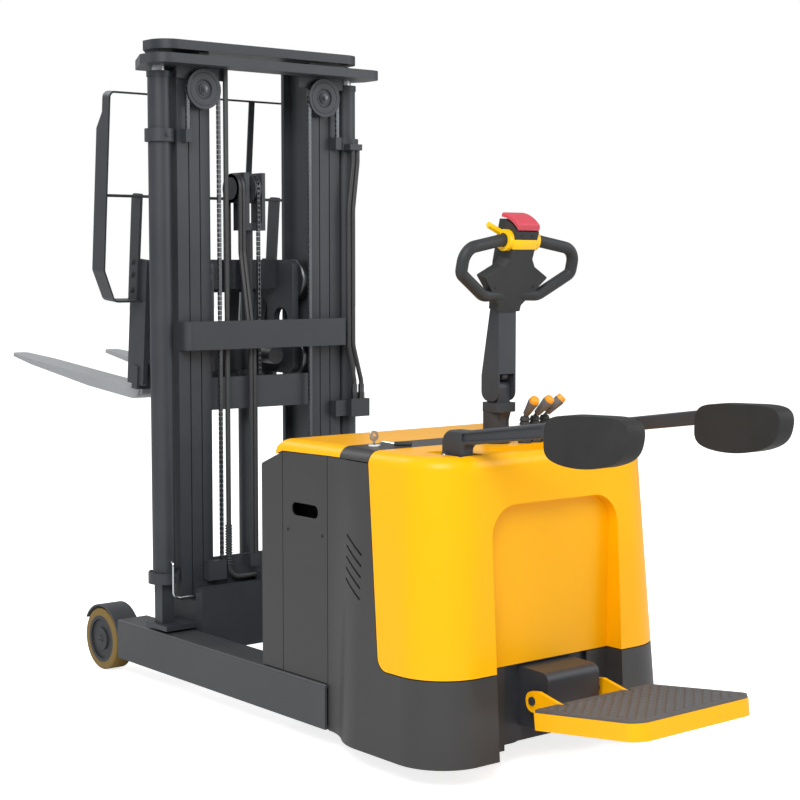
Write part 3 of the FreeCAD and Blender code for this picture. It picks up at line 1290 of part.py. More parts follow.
def arm_pad(side):
    """Padded end of an arm: a mitten with a climbing top, a round belly and softened faces."""
    front = ARM_PIVOT_Y - ARM_REACH
    rear = front - PAD_L
    top = ARM_PIVOT_Z + PAD_RISE
    low = top - PAD_H
    pad = prism(
        [(front, top, 2 * PAD_ROUND), (front, low + PAD_H / 5, 2 * PAD_ROUND),
         (front - PAD_L / 2, low, PAD_L / 4),
         (rear + PAD_L / 12, low + PAD_H / 5, PAD_L / 6), (rear, top - PAD_H / 4, PAD_ROUND),
         (rear, top + PAD_LIFT, 2 * PAD_ROUND)],
        side_view, ARM_X - PAD_T / 2, ARM_X + PAD_T / 2)
    rims = [e for e in pad.Edges if abs(e.BoundBox.XLength) < 0.01]
    pad = pad.makeChamfer(PAD_ROUND / 2, rims)
    return pad if side > 0 else mirrored(pad)


# Platform

def pedal_place(shape):
    """Raise the level platform to its rest angle."""
    return turned_about_x(shape, -PEDAL_RISE, PEDAL_PIVOT_Y, PEDAL_PIVOT_Z)


def pedal_outline(inset):
    """Plan of the platform with round rear corners."""
    front = PEDAL_PIVOT_Y - PEDAL_FRONT - inset
    rear = PEDAL_PIVOT_Y - PEDAL_REAR + inset
    half = PEDAL_X - inset
    near = 2 * EDGE
    return [(-half, front, near), (-half, rear, PEDAL_R - inset), (half, rear, PEDAL_R - inset),
            (half, front, near)]


def pedal_frame():
    """Yellow pan with a rim, ribs below and two hinge lugs."""
    top = PEDAL_PIVOT_Z - MAT_T
    low = top - PEDAL_RIM
    pan = prism(pedal_outline(0), plan_view, low, top)
    pan = pan.cut(prism(pedal_outline(PEDAL_WALL), plan_view, low, top - PEDAL_WALL))
    front = PEDAL_PIVOT_Y - PEDAL_FRONT
    rear = PEDAL_PIVOT_Y - PEDAL_REAR
    pieces = [pan]
    for x in (-PEDAL_X / 2, 0, PEDAL_X / 2):
        pieces.append(box(x - PEDAL_WALL / 2, x + PEDAL_WALL / 2, rear + PEDAL_WALL, front - PEDAL_WALL,
                          low + PEDAL_RIM / 3, top - PEDAL_WALL))
    lug = prism(
        [(PEDAL_PIVOT_Y + LUG_R, PEDAL_PIVOT_Z + LUG_R, LUG_R - 1),
         (PEDAL_PIVOT_Y + LUG_R, PEDAL_PIVOT_Z - LUG_R, LUG_R - 1),
         (front, low), (front - LUG_R, low), (front - LUG_R, top), (front, PEDAL_PIVOT_Z),
         (PEDAL_PIVOT_Y - LUG_R, PEDAL_PIVOT_Z + LUG_R, LUG_R / 2)],
        side_view, LUG_X0, LUG_X0 + LUG_T)
    lug = lug.cut(rod(PEDAL_PIN_R + RUN_GAP, Vector(0, PEDAL_PIVOT_Y, PEDAL_PIVOT_Z),
                      Vector(SKIRT_X, PEDAL_PIVOT_Y, PEDAL_PIVOT_Z)))
    return pedal_place(joined(pieces + [lug, mirrored(lug)]))


def pedal_mat():
    """Rubber mat let into the platform, cut out round the hinge lugs."""
    mat = prism(pedal_outline(MAT_INSET), plan_view, PEDAL_PIVOT_Z - MAT_T, PEDAL_PIVOT_Z)
    cover_y = PEDAL_PIVOT_Y - PEDAL_FRONT
    lug = box(-LUG_X0 - LUG_T - MAT_INSET, LUG_X0 + LUG_T + MAT_INSET, cover_y - LUG_R - MAT_INSET,
              cover_y, 0, BODY_TOP)
    gap = box(-LUG_X0 + MAT_INSET, LUG_X0 - MAT_INSET, cover_y - LUG_R - MAT_INSET, cover_y, 0, BODY_TOP)
    return pedal_place(mat.cut(lug.cut(gap)))


def pedal_housing():
    """Box that carries the platform's hinge pin between its lugs, with a sloping round top."""
    z = PEDAL_PIVOT_Z
    round_r = HOUSING_X / 4
    case = prism(
        [(HOUSING_Y0, HOUSING_Z0), (HOUSING_Y0, HOUSING_TOP), (HOUSING_Y1, HOUSING_TOP - EDGE, round_r),
         (HOUSING_Y1, HOUSING_Z0 + round_r, EDGE), (HOUSING_Y1 + round_r, HOUSING_Z0)],
        side_view, -HOUSING_X, HOUSING_X)
    reach = LUG_X0 + LUG_T + EDGE
    pin = rod(PEDAL_PIN_R, Vector(-reach, PEDAL_PIVOT_Y, z), Vector(reach, PEDAL_PIVOT_Y, z))
    return joined([case, pin])


# Mast

def channel_rail(x1, width, z0, z1):
    """Channel rail with its web on the outer side, open towards the middle."""
    x0 = x1 - width
    bar = box(x0, x1, RAIL_REAR_Y, RAIL_FRONT_Y, z0, z1)
    return bar.cut(box(x0, x1 - RAIL_WEB, RAIL_REAR_Y + RAIL_FLANGE, RAIL_FRONT_Y - RAIL_FLANGE, z0, z1))


def beam_rail(x1, width, z0, z1):
    """I-section rail with its web in the middle."""
    x0 = x1 - width
    side = (width - RAIL_WEB) / 2
    bar = box(x0, x1, RAIL_REAR_Y, RAIL_FRONT_Y, z0, z1)
    for a in (x0, x1 - side):
        bar = bar.cut(box(a, a + side, RAIL_REAR_Y + RAIL_FLANGE, RAIL_FRONT_Y - RAIL_FLANGE, z0, z1))
    return bar


def guide_shoe(x0, x1, foot):
    """Slide shoe that guides a rail in the channel outside it."""
    deep = RAIL_CLEAR - SLIDE_GAP
    return box(x0, x1, RAIL_MID_Y - deep, RAIL_MID_Y + deep, foot + SHOE_UP, foot + SHOE_UP + SHOE_H)


def outer_mast():
    """Outer rails with rear strap, cylinder clamps, chain anchors and the hose block."""
    half = []
    half.append(channel_rail(OUTER_X, OUTER_W, OUTER_Z0, OUTER_TOP))
    ring = Part.makeCylinder(CYL_R + CLAMP_T, CLAMP_H, Vector(CYL_X, CYL_Y, CLAMP_Z0))
    tab = box(OUTER_X, CYL_X, CYL_Y - CLAMP_T, CYL_Y + CLAMP_T, CLAMP_Z0, CLAMP_Z0 + CLAMP_H)
    bore = Part.makeCylinder(CYL_R, CLAMP_H, Vector(CYL_X, CYL_Y, CLAMP_Z0))
    slab = box(OUTER_X, FOOT_X + LEG_W, RAIL_REAR_Y - LEG_W, RAIL_FRONT_Y, CLAMP_Z0, CLAMP_Z0 + CLAMP_H)
    half.append(ring.fuse(tab).cut(bore).common(slab))
    anchor_x = SHEAVE_X + CHAIN_PITCH_R
    half.append(box(anchor_x - CHAIN_T, anchor_x + CHAIN_T, SHEAVE_FRONT_Y, RAIL_REAR_Y, CLAMP_Z0,
                    CLAMP_Z0 + CLAMP_H))
    rear = STRAP_IN_Y - STRAP_T
    out = OUTER_X
    inn = OUTER_X - STRAP_T
    strap = prism(
        [(-out, RAIL_REAR_Y), (-out, rear, STRAP_BEND), (out, rear, STRAP_BEND), (out, RAIL_REAR_Y),
         (inn, RAIL_REAR_Y),
         (inn, STRAP_IN_Y, STRAP_BEND - STRAP_T), (-inn, STRAP_IN_Y, STRAP_BEND - STRAP_T),
         (-inn, RAIL_REAR_Y)],
        plan_view, STRAP_Z0, STRAP_Z0 + STRAP_H)
    block = box(BLOCK_X0, BLOCK_X0 + BLOCK_W, BLOCK_Y0, BLOCK_Y0 + BLOCK_D, BLOCK_Z0, BLOCK_Z0 + BLOCK_H)
    arm = box(OUTER_X - OUTER_W, BLOCK_X0 + EDGE, BLOCK_Y0 + BLOCK_D / 2, RAIL_REAR_Y, BLOCK_Z0 + EDGE,
              BLOCK_Z0 + BLOCK_H - EDGE)
    clip_y = BLOCK_Y0 + BLOCK_D / 2
    clip_x = OUTER_X + SIDE_HOSE_R + REACH_CLEAR + 2 * SIDE_HOSE_STEP
    clip = box(clip_x - 2 * SIDE_HOSE_STEP, clip_x + 1.5 * SIDE_HOSE_R, clip_y - 1.5 * SIDE_HOSE_R,
               CYL_Y - CYL_R - REACH_CLEAR / 2, CLAMP_Z0, CLAMP_Z0 + CLAMP_H / 2)
    return joined(half + [mirrored(s) for s in half] + [strap, block, arm, clip])


def lift_barrel():
    """Side lift cylinder: foot flange, barrel and gland, bored for rod and piston."""
    flange_top = CYL_FOOT_Z + CYL_FLANGE_H
    profile = [(0, 0), (0, CYL_FLANGE_R), (CYL_FLANGE_H, CYL_FLANGE_R), (CYL_FLANGE_H, CYL_R),
               (CYL_TOP - CYL_FOOT_Z, CYL_R),
               (CYL_TOP - CYL_FOOT_Z, CYL_R + GLAND_RIM),
               (CYL_TOP + GLAND_H - CYL_FOOT_Z, CYL_R + GLAND_RIM),
               (CYL_TOP + GLAND_H - CYL_FOOT_Z, LIFT_ROD_R + RUN_GAP),
               (CYL_TOP - CYL_FOOT_Z, LIFT_ROD_R + RUN_GAP),
               (CYL_TOP - CYL_FOOT_Z, CYL_BORE), (CYL_FLANGE_H, CYL_BORE), (CYL_FLANGE_H, 0)]
    barrel = turned(profile, Vector(CYL_X, CYL_Y, CYL_FOOT_Z), Z_AXIS)
    trim = box(0, OUTER_X + EDGE / 2, CYL_Y - LEG_W, CYL_Y + LEG_W, CYL_FOOT_Z, flange_top)
    return barrel.cut(trim)


def lift_rod():
    """Lift rod with its piston, up to the lower top plate."""
    low = CYL_FOOT_Z + CYL_FLANGE_H + EDGE
    profile = [(0, 0), (0, CYL_BORE - RUN_GAP), (PISTON_H, CYL_BORE - RUN_GAP), (PISTON_H, LIFT_ROD_R),
               (LOWER_PLATE_Z0 - low, LIFT_ROD_R), (LOWER_PLATE_Z0 - low, 0)]
    return turned(profile, Vector(CYL_X, CYL_Y, low), Z_AXIS)


def middle_rails():
    """I-section rails of the middle stage with guide shoes and a foot tie."""
    rail = beam_rail(MIDDLE_X, MIDDLE_W, MIDDLE_Z0, LOWER_PLATE_Z0)
    side = (MIDDLE_W - RAIL_WEB) / 2
    shoe = guide_shoe(MIDDLE_X - side, OUTER_X - RAIL_WEB - SLIDE_GAP, MIDDLE_Z0)
    tie_top = ANCHOR_Z0 - EDGE
    tie = box(-MIDDLE_X, MIDDLE_X, RAIL_REAR_Y - 2 * EDGE, RAIL_REAR_Y, MIDDLE_Z0, tie_top)
    return joined([rail, shoe, mirrored(rail), mirrored(shoe), tie])


def lower_top_plate():
    """Top plate of the middle stage, open in front of the inner rails, with sheave brackets and pins."""
    low = LOWER_PLATE_Z0
    notch = INNER_X + STAGE_GAP / 2
    open_y = RAIL_REAR_Y - EDGE
    end_y = LOWER_PLATE_REAR + PLATE_END
    short = LOWER_PLATE_X - PLATE_TAPER
    plate = prism(
        [(-short, LOWER_PLATE_FRONT, PLATE_T), (-LOWER_PLATE_X, end_y, PLATE_T),
         (-LOWER_PLATE_X, LOWER_PLATE_REAR, LOWER_PLATE_R),
         (LOWER_PLATE_X, LOWER_PLATE_REAR, LOWER_PLATE_R), (LOWER_PLATE_X, end_y, PLATE_T),
         (short, LOWER_PLATE_FRONT, PLATE_T),
         (notch, LOWER_PLATE_FRONT), (notch, open_y), (-notch, open_y), (-notch, LOWER_PLATE_FRONT)],
        plan_view, low, low + LOWER_PLATE_T)
    tongue = SHEAVE_R / 2
    bracket = prism(
        [(SHEAVE_X - BRACKET_HALF, low), (SHEAVE_X - BRACKET_HALF, low - BRACKET_H, EDGE),
         (SHEAVE_X - tongue, low - BRACKET_H, EDGE),
         (SHEAVE_X - tongue, SHEAVE_Z - tongue, tongue - 1),
         (SHEAVE_X + tongue, SHEAVE_Z - tongue, tongue - 1),
         (SHEAVE_X + tongue, low - BRACKET_H, EDGE), (SHEAVE_X + BRACKET_HALF, low - BRACKET_H, EDGE),
         (SHEAVE_X + BRACKET_HALF, low)],
        front_view, SHEAVE_BACK_Y + SLIDE_GAP, RAIL_REAR_Y - 1)
    pin = rod(SHEAVE_PIN_R, Vector(SHEAVE_X, SHEAVE_BACK_Y + EDGE, SHEAVE_Z),
              Vector(SHEAVE_X, SHEAVE_FRONT_Y, SHEAVE_Z))
    return joined([plate, bracket, pin, mirrored(bracket), mirrored(pin)])


def lift_sheave(side):
    """Grooved chain sheave with a sunk face and hub."""
    groove = CHAIN_PITCH_R - CHAIN_T / 2 - SLIDE_GAP
    lip = (SHEAVE_W - CHAIN_W) / 2 - SLIDE_GAP
    bore = SHEAVE_PIN_R + RUN_GAP
    sunk = SHEAVE_R / 2
    profile = [(0, bore), (0, 2 * bore / 1.3), (EDGE, 2 * bore / 1.3), (EDGE, sunk), (0, sunk),
               (0, SHEAVE_R), (lip, SHEAVE_R),
               (lip, groove), (SHEAVE_W - lip, groove), (SHEAVE_W - lip, SHEAVE_R), (SHEAVE_W, SHEAVE_R),
               (SHEAVE_W, bore)]
    sheave = turned(profile, Vector(SHEAVE_X, SHEAVE_FRONT_Y, SHEAVE_Z), Y_AXIS)
    return sheave if side > 0 else mirrored(sheave)


def chain_strand(length):
    """Chain run as an outline of links, waisted at every pitch, hanging down from the origin."""
    links = max(1, round(length / LINK))
    pitch = length / links
    wide = CHAIN_T / 2
    neck = CHAIN_NECK / 2
    right = [(wide, 0)]
    for i in range(links):
        top = -i * pitch
        right.append((wide, top - pitch * 0.32))
        right.append((neck, top - pitch * 0.5))
        right.append((wide, top - pitch * 0.68))
    right.append((wide, -length))
    left = [(-x, z) for x, z in right[::-1]]
    return prism(right + left, front_view, -CHAIN_W / 2, CHAIN_W / 2)


def chain_over(pitch_r, width):
    """Half turn of chain over a sheave with its axis along Y, about the origin."""
    base = Vector(0, -width / 2, 0)
    ring = Part.makeCylinder(pitch_r + CHAIN_T / 2, width, base, Y_AXIS)
    ring = ring.cut(Part.makeCylinder(pitch_r - CHAIN_T / 2, width, base, Y_AXIS))
    reach = 2 * pitch_r
    return ring.common(box(-reach, reach, -width, width, 0, reach))


def lift_chain():
    """Lift chain of one side: short fall to the clamp, turn over the sheave, long fall to the inner stage."""
    centre = Vector(SHEAVE_X, SHEAVE_Y, SHEAVE_Z)
    over = chain_over(CHAIN_PITCH_R, CHAIN_W)
    short = chain_strand(SHEAVE_Z - CLAMP_Z0 - CLAMP_H)
    short.translate(Vector(CHAIN_PITCH_R, 0, 0))
    fall = chain_strand(SHEAVE_Z - ANCHOR_Z0 - ANCHOR_H)
    fall.translate(Vector(-CHAIN_PITCH_R, 0, 0))
    chain = joined([over, short, fall])
    chain.translate(centre)
    return chain


def inner_mast():
    """Inner rails with cross beam, foot tie, cylinder seat and chain anchors."""
    rail = channel_rail(INNER_X, INNER_W, INNER_Z0, UPPER_PLATE_Z0)
    side = (MIDDLE_W - RAIL_WEB) / 2
    shoe = guide_shoe(INNER_X - 1, MIDDLE_X - MIDDLE_W + side - SLIDE_GAP, MIDDLE_Z0 + MIDDLE_FOOT)
    anchor_x = SHEAVE_X - CHAIN_PITCH_R
    anchor = box(anchor_x - CHAIN_T, INNER_X, SHEAVE_FRONT_Y, RAIL_REAR_Y, ANCHOR_Z0,
                 ANCHOR_Z0 + ANCHOR_H)
    half = [rail, shoe, anchor]
    front = RAIL_REAR_Y + TIE_T
    beam = box(-INNER_IN, INNER_IN, RAIL_REAR_Y, front, BEAM_Z0, BEAM_Z0 + BEAM_H)
    tie = box(-INNER_IN, INNER_IN, RAIL_REAR_Y, front, TIE_Z0, TIE_Z0 + TIE_H)
    seat = box(-FREE_R, FREE_R, front, FREE_Y + FREE_R, TIE_Z0, FREE_Z0)
    clasp = box(-FREE_R, FREE_R, front, FREE_Y, BEAM_Z0 + BEAM_H / 4, BEAM_Z0 + BEAM_H * 3 / 4)
    barrel = rod(FREE_R, Vector(0, FREE_Y, FREE_Z0), Vector(0, FREE_Y, FREE_TOP))
    chain_y = FREE_Y - FREE_PITCH_R
    lug = box(FREE_CHAIN_X - CHAIN_W, FREE_CHAIN_X + CHAIN_W, front, chain_y + CHAIN_T / 2,
              BEAM_Z0 + BEAM_H / 2, BEAM_Z0 + BEAM_H)
    grip = 1.5 * HOSE_R
    clip = box(min(HOSE_X) - grip, max(HOSE_X) + grip, RAIL_REAR_Y - 2 * HOSE_R - HOSE_R, RAIL_REAR_Y,
               TIE_Z0 + TIE_H / 2, TIE_Z0 + TIE_H)
    return joined(half + [mirrored(s) for s in half] + [beam, tie, seat, clasp.cut(barrel),
                                                        lug.cut(barrel), clip])


def upper_top_plate():
    """Top plate of the inner stage."""
    end_y = UPPER_PLATE_REAR + PLATE_END
    short = UPPER_PLATE_X - PLATE_TAPER
    return prism(
        [(-short, LOWER_PLATE_FRONT, PLATE_T), (-UPPER_PLATE_X, end_y, PLATE_T),
         (-UPPER_PLATE_X, UPPER_PLATE_REAR, UPPER_PLATE_R),
         (UPPER_PLATE_X, UPPER_PLATE_REAR, UPPER_PLATE_R), (UPPER_PLATE_X, end_y, PLATE_T),
         (short, LOWER_PLATE_FRONT, PLATE_T)],
        plan_view, UPPER_PLATE_Z0, UPPER_PLATE_Z0 + UPPER_PLATE_T)


def free_lift_barrel():
    """Free-lift cylinder in the middle of the inner stage."""
    top = FREE_TOP - FREE_Z0
    profile = [(0, 0), (0, FREE_R), (top, FREE_R), (top, FREE_R + GLAND_RIM),
               (top + GLAND_H, FREE_R + GLAND_RIM),
               (top + GLAND_H, FREE_ROD_R + RUN_GAP), (top, FREE_ROD_R + RUN_GAP), (top, FREE_BORE),
               (PISTON_H / 2, FREE_BORE),
               (PISTON_H / 2, 0)]
    return turned(profile, Vector(0, FREE_Y, FREE_Z0), Z_AXIS)


def crosshead():
    """Free-lift rod with piston, and the head that carries chain and hose sheaves."""
    rise = HEAD_BLOCK_Z - FREE_PISTON_Z
    stem = turned([(0, 0), (0, FREE_BORE - RUN_GAP), (PISTON_H, FREE_BORE - RUN_GAP),
                   (PISTON_H, FREE_ROD_R), (rise, FREE_ROD_R), (rise, 0)],
                  Vector(0, FREE_Y, FREE_PISTON_Z), Z_AXIS)
    deep = FREE_PITCH_R - CHAIN_T
    base = box(CHEEKS_X[0][0], CHEEKS_X[1][1], FREE_Y - deep, FREE_Y + deep, HEAD_BLOCK_Z,
               HEAD_BLOCK_Z + HEAD_BLOCK_H)
    pieces = [stem, base]
    for x0, x1 in CHEEKS_X:
        pieces.append(box(x0, x1, FREE_Y - deep, FREE_Y + deep, HEAD_BLOCK_Z, HEAD_BLOCK_TOP))
    left = CHEEKS_X[0][0] - HOSE_SHEAVE_W - 2 * SLIDE_GAP
    pieces.append(rod(FREE_PIN_R, Vector(left, FREE_Y, FREE_AXIS_Z),
                      Vector(CHEEKS_X[1][0], FREE_Y, FREE_AXIS_Z)))
    return joined(pieces)


def crosshead_sheaves():
    """Chain sheave and twin-groove hose sheave on the crosshead pin."""
    bore = FREE_PIN_R + RUN_GAP
    groove = FREE_PITCH_R - CHAIN_T / 2 - SLIDE_GAP
    lip_r = FREE_PITCH_R + EDGE
    lip = (FREE_SHEAVE_W - CHAIN_W) / 2 - SLIDE_GAP
    wide = FREE_SHEAVE_W
    chain = turned([(0, bore), (0, lip_r), (lip, lip_r), (lip, groove), (wide - lip, groove),
                    (wide - lip, lip_r), (wide, lip_r), (wide, bore)],
                   Vector(FREE_CHAIN_X - wide / 2, FREE_Y, FREE_AXIS_Z), X_AXIS)
    start = CHEEKS_X[0][0] - SLIDE_GAP - HOSE_SHEAVE_W
    floor = FREE_PITCH_R - HOSE_R - SLIDE_GAP
    profile = [(0, bore), (0, lip_r)]
    for x in HOSE_X:
        near = x - start - HOSE_R - SLIDE_GAP
        far = x - start + HOSE_R + SLIDE_GAP
        profile += [(near, lip_r), (near, floor), (far, floor), (far, lip_r)]
    profile += [(HOSE_SHEAVE_W, lip_r), (HOSE_SHEAVE_W, bore)]
    hose = turned(profile, Vector(start, FREE_Y, FREE_AXIS_Z), X_AXIS)
    return Part.makeCompound([chain, hose])


def free_lift_chain():
    """Free-lift chain: rear fall to the inner beam, turn over the sheave, front fall to the carriage."""
    over = chain_over(FREE_PITCH_R, CHAIN_W)
    rear = chain_strand(FREE_AXIS_Z - BEAM_Z0 - BEAM_H)
    rear.translate(Vector(-FREE_PITCH_R, 0, 0))
    front = chain_strand(FREE_AXIS_Z - CARR_TOP)
    front.translate(Vector(FREE_PITCH_R, 0, 0))
    chain = joined([over, rear, front])
    chain.rotate(Vector(0, 0, 0), Z_AXIS, 90)
    chain.translate(Vector(FREE_CHAIN_X, FREE_Y, FREE_AXIS_Z))
    return chain


def carriage_hoses():
    """Twin hoses from the foot of the inner stage, over the hose sheave, to the carriage."""
    rear_y = FREE_Y - FREE_PITCH_R
    front_y = FREE_Y + FREE_PITCH_R
    clip_y = RAIL_REAR_Y - 2 * HOSE_R
    top = FREE_AXIS_Z + FREE_PITCH_R
    bend = 10 * HOSE_R
    hoses = []
    for x in HOSE_X:
        hoses.append(tube_along(
            [(clip_y, TIE_Z0 + TIE_H), (clip_y, BEAM_Z0 + 2 * BEAM_H, bend),
             (rear_y, FREE_AXIS_Z - 2 * BEAM_H, bend),
             (rear_y, top, FREE_PITCH_R - 0.01), (front_y, top, FREE_PITCH_R - 0.01),
             (front_y, CARR_TOP)],
            side_view, HOSE_R, Vector(x, 0, 0)))
    return Part.makeCompound(hoses)


def feed_hose():
    """Feed line beside the left chain, with a ribbed guard at its foot and a bend to the middle."""
    y = SHEAVE_Y
    foot = ANCHOR_Z0
    line = tube_along(
        [(FEED_X, LOWER_PLATE_Z0), (FEED_X, foot, FEED_BEND), (FEED_X + FEED_TAIL + FEED_BEND, foot)],
        front_view, FEED_R, Vector(0, y, 0))
    ribs = []
    count = round(FEED_GUARD_L / FEED_GUARD_STEP)
    for i in range(count):
        z = foot + FEED_BEND + EDGE + i * FEED_GUARD_STEP
        ribs.append(rod(FEED_GUARD_R, Vector(FEED_X, y, z), Vector(FEED_X, y, z + FEED_GUARD_STEP * 0.7)))
    return joined([line] + ribs)


def side_hoses():
    """Pair of hoses down the right side of the outer mast to the hose block."""
    y = BLOCK_Y0 + BLOCK_D / 2
    hoses = []
    for i in range(2):
        x0 = OUTER_X + SIDE_HOSE_R + REACH_CLEAR + i * SIDE_HOSE_STEP
        x1 = BLOCK_X0 + BLOCK_W / 3 + i * 1.5 * SIDE_HOSE_STEP
        mid = BLOCK_Z0 + 4 * BLOCK_H
        hoses.append(tube_along(
            [(x0 + SIDE_HOSE_STEP, CLAMP_Z0), (x0 + SIDE_HOSE_STEP, CLAMP_Z0 - CLAMP_H, 12 * SIDE_HOSE_R),
             (x0, CLAMP_Z0 - 5 * CLAMP_H, 12 * SIDE_HOSE_R),
             (x0, mid, 12 * SIDE_HOSE_R),
             (x1, mid - 2 * BLOCK_H, 6 * SIDE_HOSE_R), (x1, BLOCK_Z0 + BLOCK_H)],
            front_view, SIDE_HOSE_R, Vector(0, y, 0)))
    return Part.makeCompound(hoses)


# Reach frame

def reach_frame():
    """Welded frame between the legs that carries mast and cylinders and rolls in the leg channels."""
    out = LEG_IN - REACH_CLEAR
    inn = out - REACH_PLATE_T
    plate = prism(
        [(REACH_REAR_Y, REACH_Z0, 4 * EDGE), (REACH_FRONT_Y, REACH_Z0, 4 * EDGE),
         (REACH_FRONT_Y, OUTER_Z0), (REACH_REAR_Y, OUTER_Z0)],
        side_view, inn, out)
    foot_z = LEG_TOP + FOOT_CLEAR
    foot = box(inn, FOOT_X, FOOT_REAR_Y, FOOT_FRONT_Y, foot_z, foot_z + FOOT_T)
    post = box(CYL_X - POST_FOOT / 2, CYL_X + POST_FOOT / 2, CYL_Y - POST_FOOT / 2,
               CYL_Y + POST_FOOT / 2, foot_z, CYL_FOOT_Z)
    half = [plate, foot, post]
    for y in (ROLLER_FRONT_Y, ROLLER_REAR_Y):
        half.append(rod(ROLLER_PIN_R, Vector(inn, y, CHANNEL_MID_Z),
                        Vector(LEG_IN + ROLLER_W, y, CHANNEL_MID_Z)))
    low = box(-inn, inn, REACH_REAR_Y, REACH_REAR_Y + LOW_BEAM_D, LOW_BEAM_Z0, LOW_BEAM_Z0 + LOW_BEAM_H)
    top_z = LOW_BEAM_Z0 + LOW_BEAM_H
    top = box(-out, out, REACH_REAR_Y, REACH_REAR_Y + TOP_BEAM_D - 2 * EDGE, top_z, top_z + TOP_BEAM_H)
    union_x = FEED_X + FEED_TAIL + FEED_BEND
    union = box(union_x, union_x + 3 * FEED_R, REACH_REAR_Y + TOP_BEAM_D / 2,
                SHEAVE_Y + FEED_R + EDGE / 2,
                top_z + TOP_BEAM_H, ANCHOR_Z0 + FEED_R + EDGE)
    return joined(half + [mirrored(s) for s in half] + [low, top, union])


def reach_rollers(y):
    """Pair of reach rollers on one line across the truck."""
    x0 = LEG_IN + SLIDE_GAP
    bore = ROLLER_PIN_R + RUN_GAP
    profile = [(0, bore), (0, REACH_ROLLER_R), (ROLLER_W, REACH_ROLLER_R), (ROLLER_W, bore)]
    return pair(turned(profile, Vector(x0, y, CHANNEL_MID_Z), X_AXIS))


# Carriage and forks

def carriage_frame():
    """Roller carriage: side plates, cross plates, roller pins, tilt pins and the tilt cylinder."""
    inn = CARR_X - CARR_T
    plate = prism(
        [(CARR_REAR_Y, CARR_Z0, 6 * EDGE), (CROSS_Y + 2 * CROSS_T, CARR_Z0, 6 * EDGE),
         (CROSS_Y + 2 * CROSS_T, TILT_PIVOT_Z - CROSS_H, 10 * EDGE),
         (CARR_FRONT_Y, TILT_PIVOT_Z - CROSS_H / 2, 3 * EDGE), (CARR_FRONT_Y, CARR_TOP, 6 * EDGE),
         (CARR_REAR_Y, CARR_TOP, 6 * EDGE)],
        side_view, inn, CARR_X)
    window_z = (CARR_ROLLER_LOW + CARR_ROLLER_HIGH) / 2
    plate = plate.cut(rod(10 * EDGE, Vector(0, CROSS_Y - CROSS_T, window_z),
                          Vector(SKIRT_X, CROSS_Y - CROSS_T, window_z)))
    half = [plate]
    for z in (CARR_ROLLER_LOW, CARR_ROLLER_HIGH):
        half.append(rod(CARR_ROLLER_PIN_R, Vector(inn, RAIL_MID_Y, z),
                        Vector(CARR_X + CARR_ROLLER_W, RAIL_MID_Y, z)))
    half.append(rod(TILT_PIN_R, Vector(inn, TILT_PIVOT_Y, TILT_PIVOT_Z),
                    Vector(CARR_X + EAR_T + EDGE, TILT_PIVOT_Y, TILT_PIVOT_Z)))
    pieces = half + [mirrored(s) for s in half]
    for z in (CARR_Z0 + EDGE, CARR_TOP - CROSS_H):
        pieces.append(box(-inn, inn, CROSS_Y, CROSS_Y + CROSS_T, z, z + CROSS_H))
    chain_y = FREE_Y + FREE_PITCH_R
    pieces.append(box(FREE_CHAIN_X - CHAIN_W, FREE_CHAIN_X + CHAIN_W, chain_y - CHAIN_T / 2,
                      CROSS_Y + EDGE, CARR_TOP - CROSS_H, CARR_TOP))
    pieces.append(box(HOSE_X[0] - HOSE_R, HOSE_X[1] + HOSE_R, chain_y - HOSE_R, CROSS_Y + EDGE,
                      CARR_TOP - CROSS_H, CARR_TOP))
    barrel = rod(TILT_CYL_R, Vector(TILT_CYL_X, CARR_REAR_Y, TILT_CYL_Z),
                 Vector(TILT_CYL_X, CROSS_Y + CROSS_T + EDGE, TILT_CYL_Z))
    bore = rod(TILT_ROD_R + RUN_GAP, Vector(TILT_CYL_X, CARR_REAR_Y + EDGE, TILT_CYL_Z),
               Vector(TILT_CYL_X, 0, TILT_CYL_Z))
    return joined(pieces + [barrel]).cut(bore)


def carriage_rollers(z):
    """Pair of carriage rollers on one line across the mast."""
    bore = CARR_ROLLER_PIN_R + RUN_GAP
    radius = RAIL_CLEAR - SLIDE_GAP
    profile = [(0, bore), (0, radius - EDGE), (EDGE, radius), (CARR_ROLLER_W, radius),
               (CARR_ROLLER_W, bore)]
    return pair(turned(profile, Vector(CARR_X + SLIDE_GAP, RAIL_MID_Y, z), X_AXIS))


def tilted(shape):
    """Tilt a level piece back about the carriage pivot."""
    return turned_about_x(shape, TILT_BACK, TILT_PIVOT_Y, TILT_PIVOT_Z)


def bar_rear():
    """Rear face of the fork bars."""
    return FORK_FACE_Y - FORK_T - BAR_GAP - BAR_T


def tilt_rod():
    """Tilt rod with a domed nose just behind the carrier's rib."""
    face = bar_rear() - BAR_T / 2
    drop = TILT_PIVOT_Z - TILT_CYL_Z
    reach = TILT_PIVOT_Y + (face - TILT_PIVOT_Y) * math.cos(TILT) + drop * math.sin(TILT)
    nose = reach - TILT_STOP_GAP - TILT_ROD_R
    back = CARR_REAR_Y + LOW_BEAM_D / 1.5
    stem = rod(TILT_ROD_R, Vector(TILT_CYL_X, back, TILT_CYL_Z), Vector(TILT_CYL_X, nose, TILT_CYL_Z))
    return joined([stem, Part.makeSphere(TILT_ROD_R, Vector(TILT_CYL_X, nose, TILT_CYL_Z))])


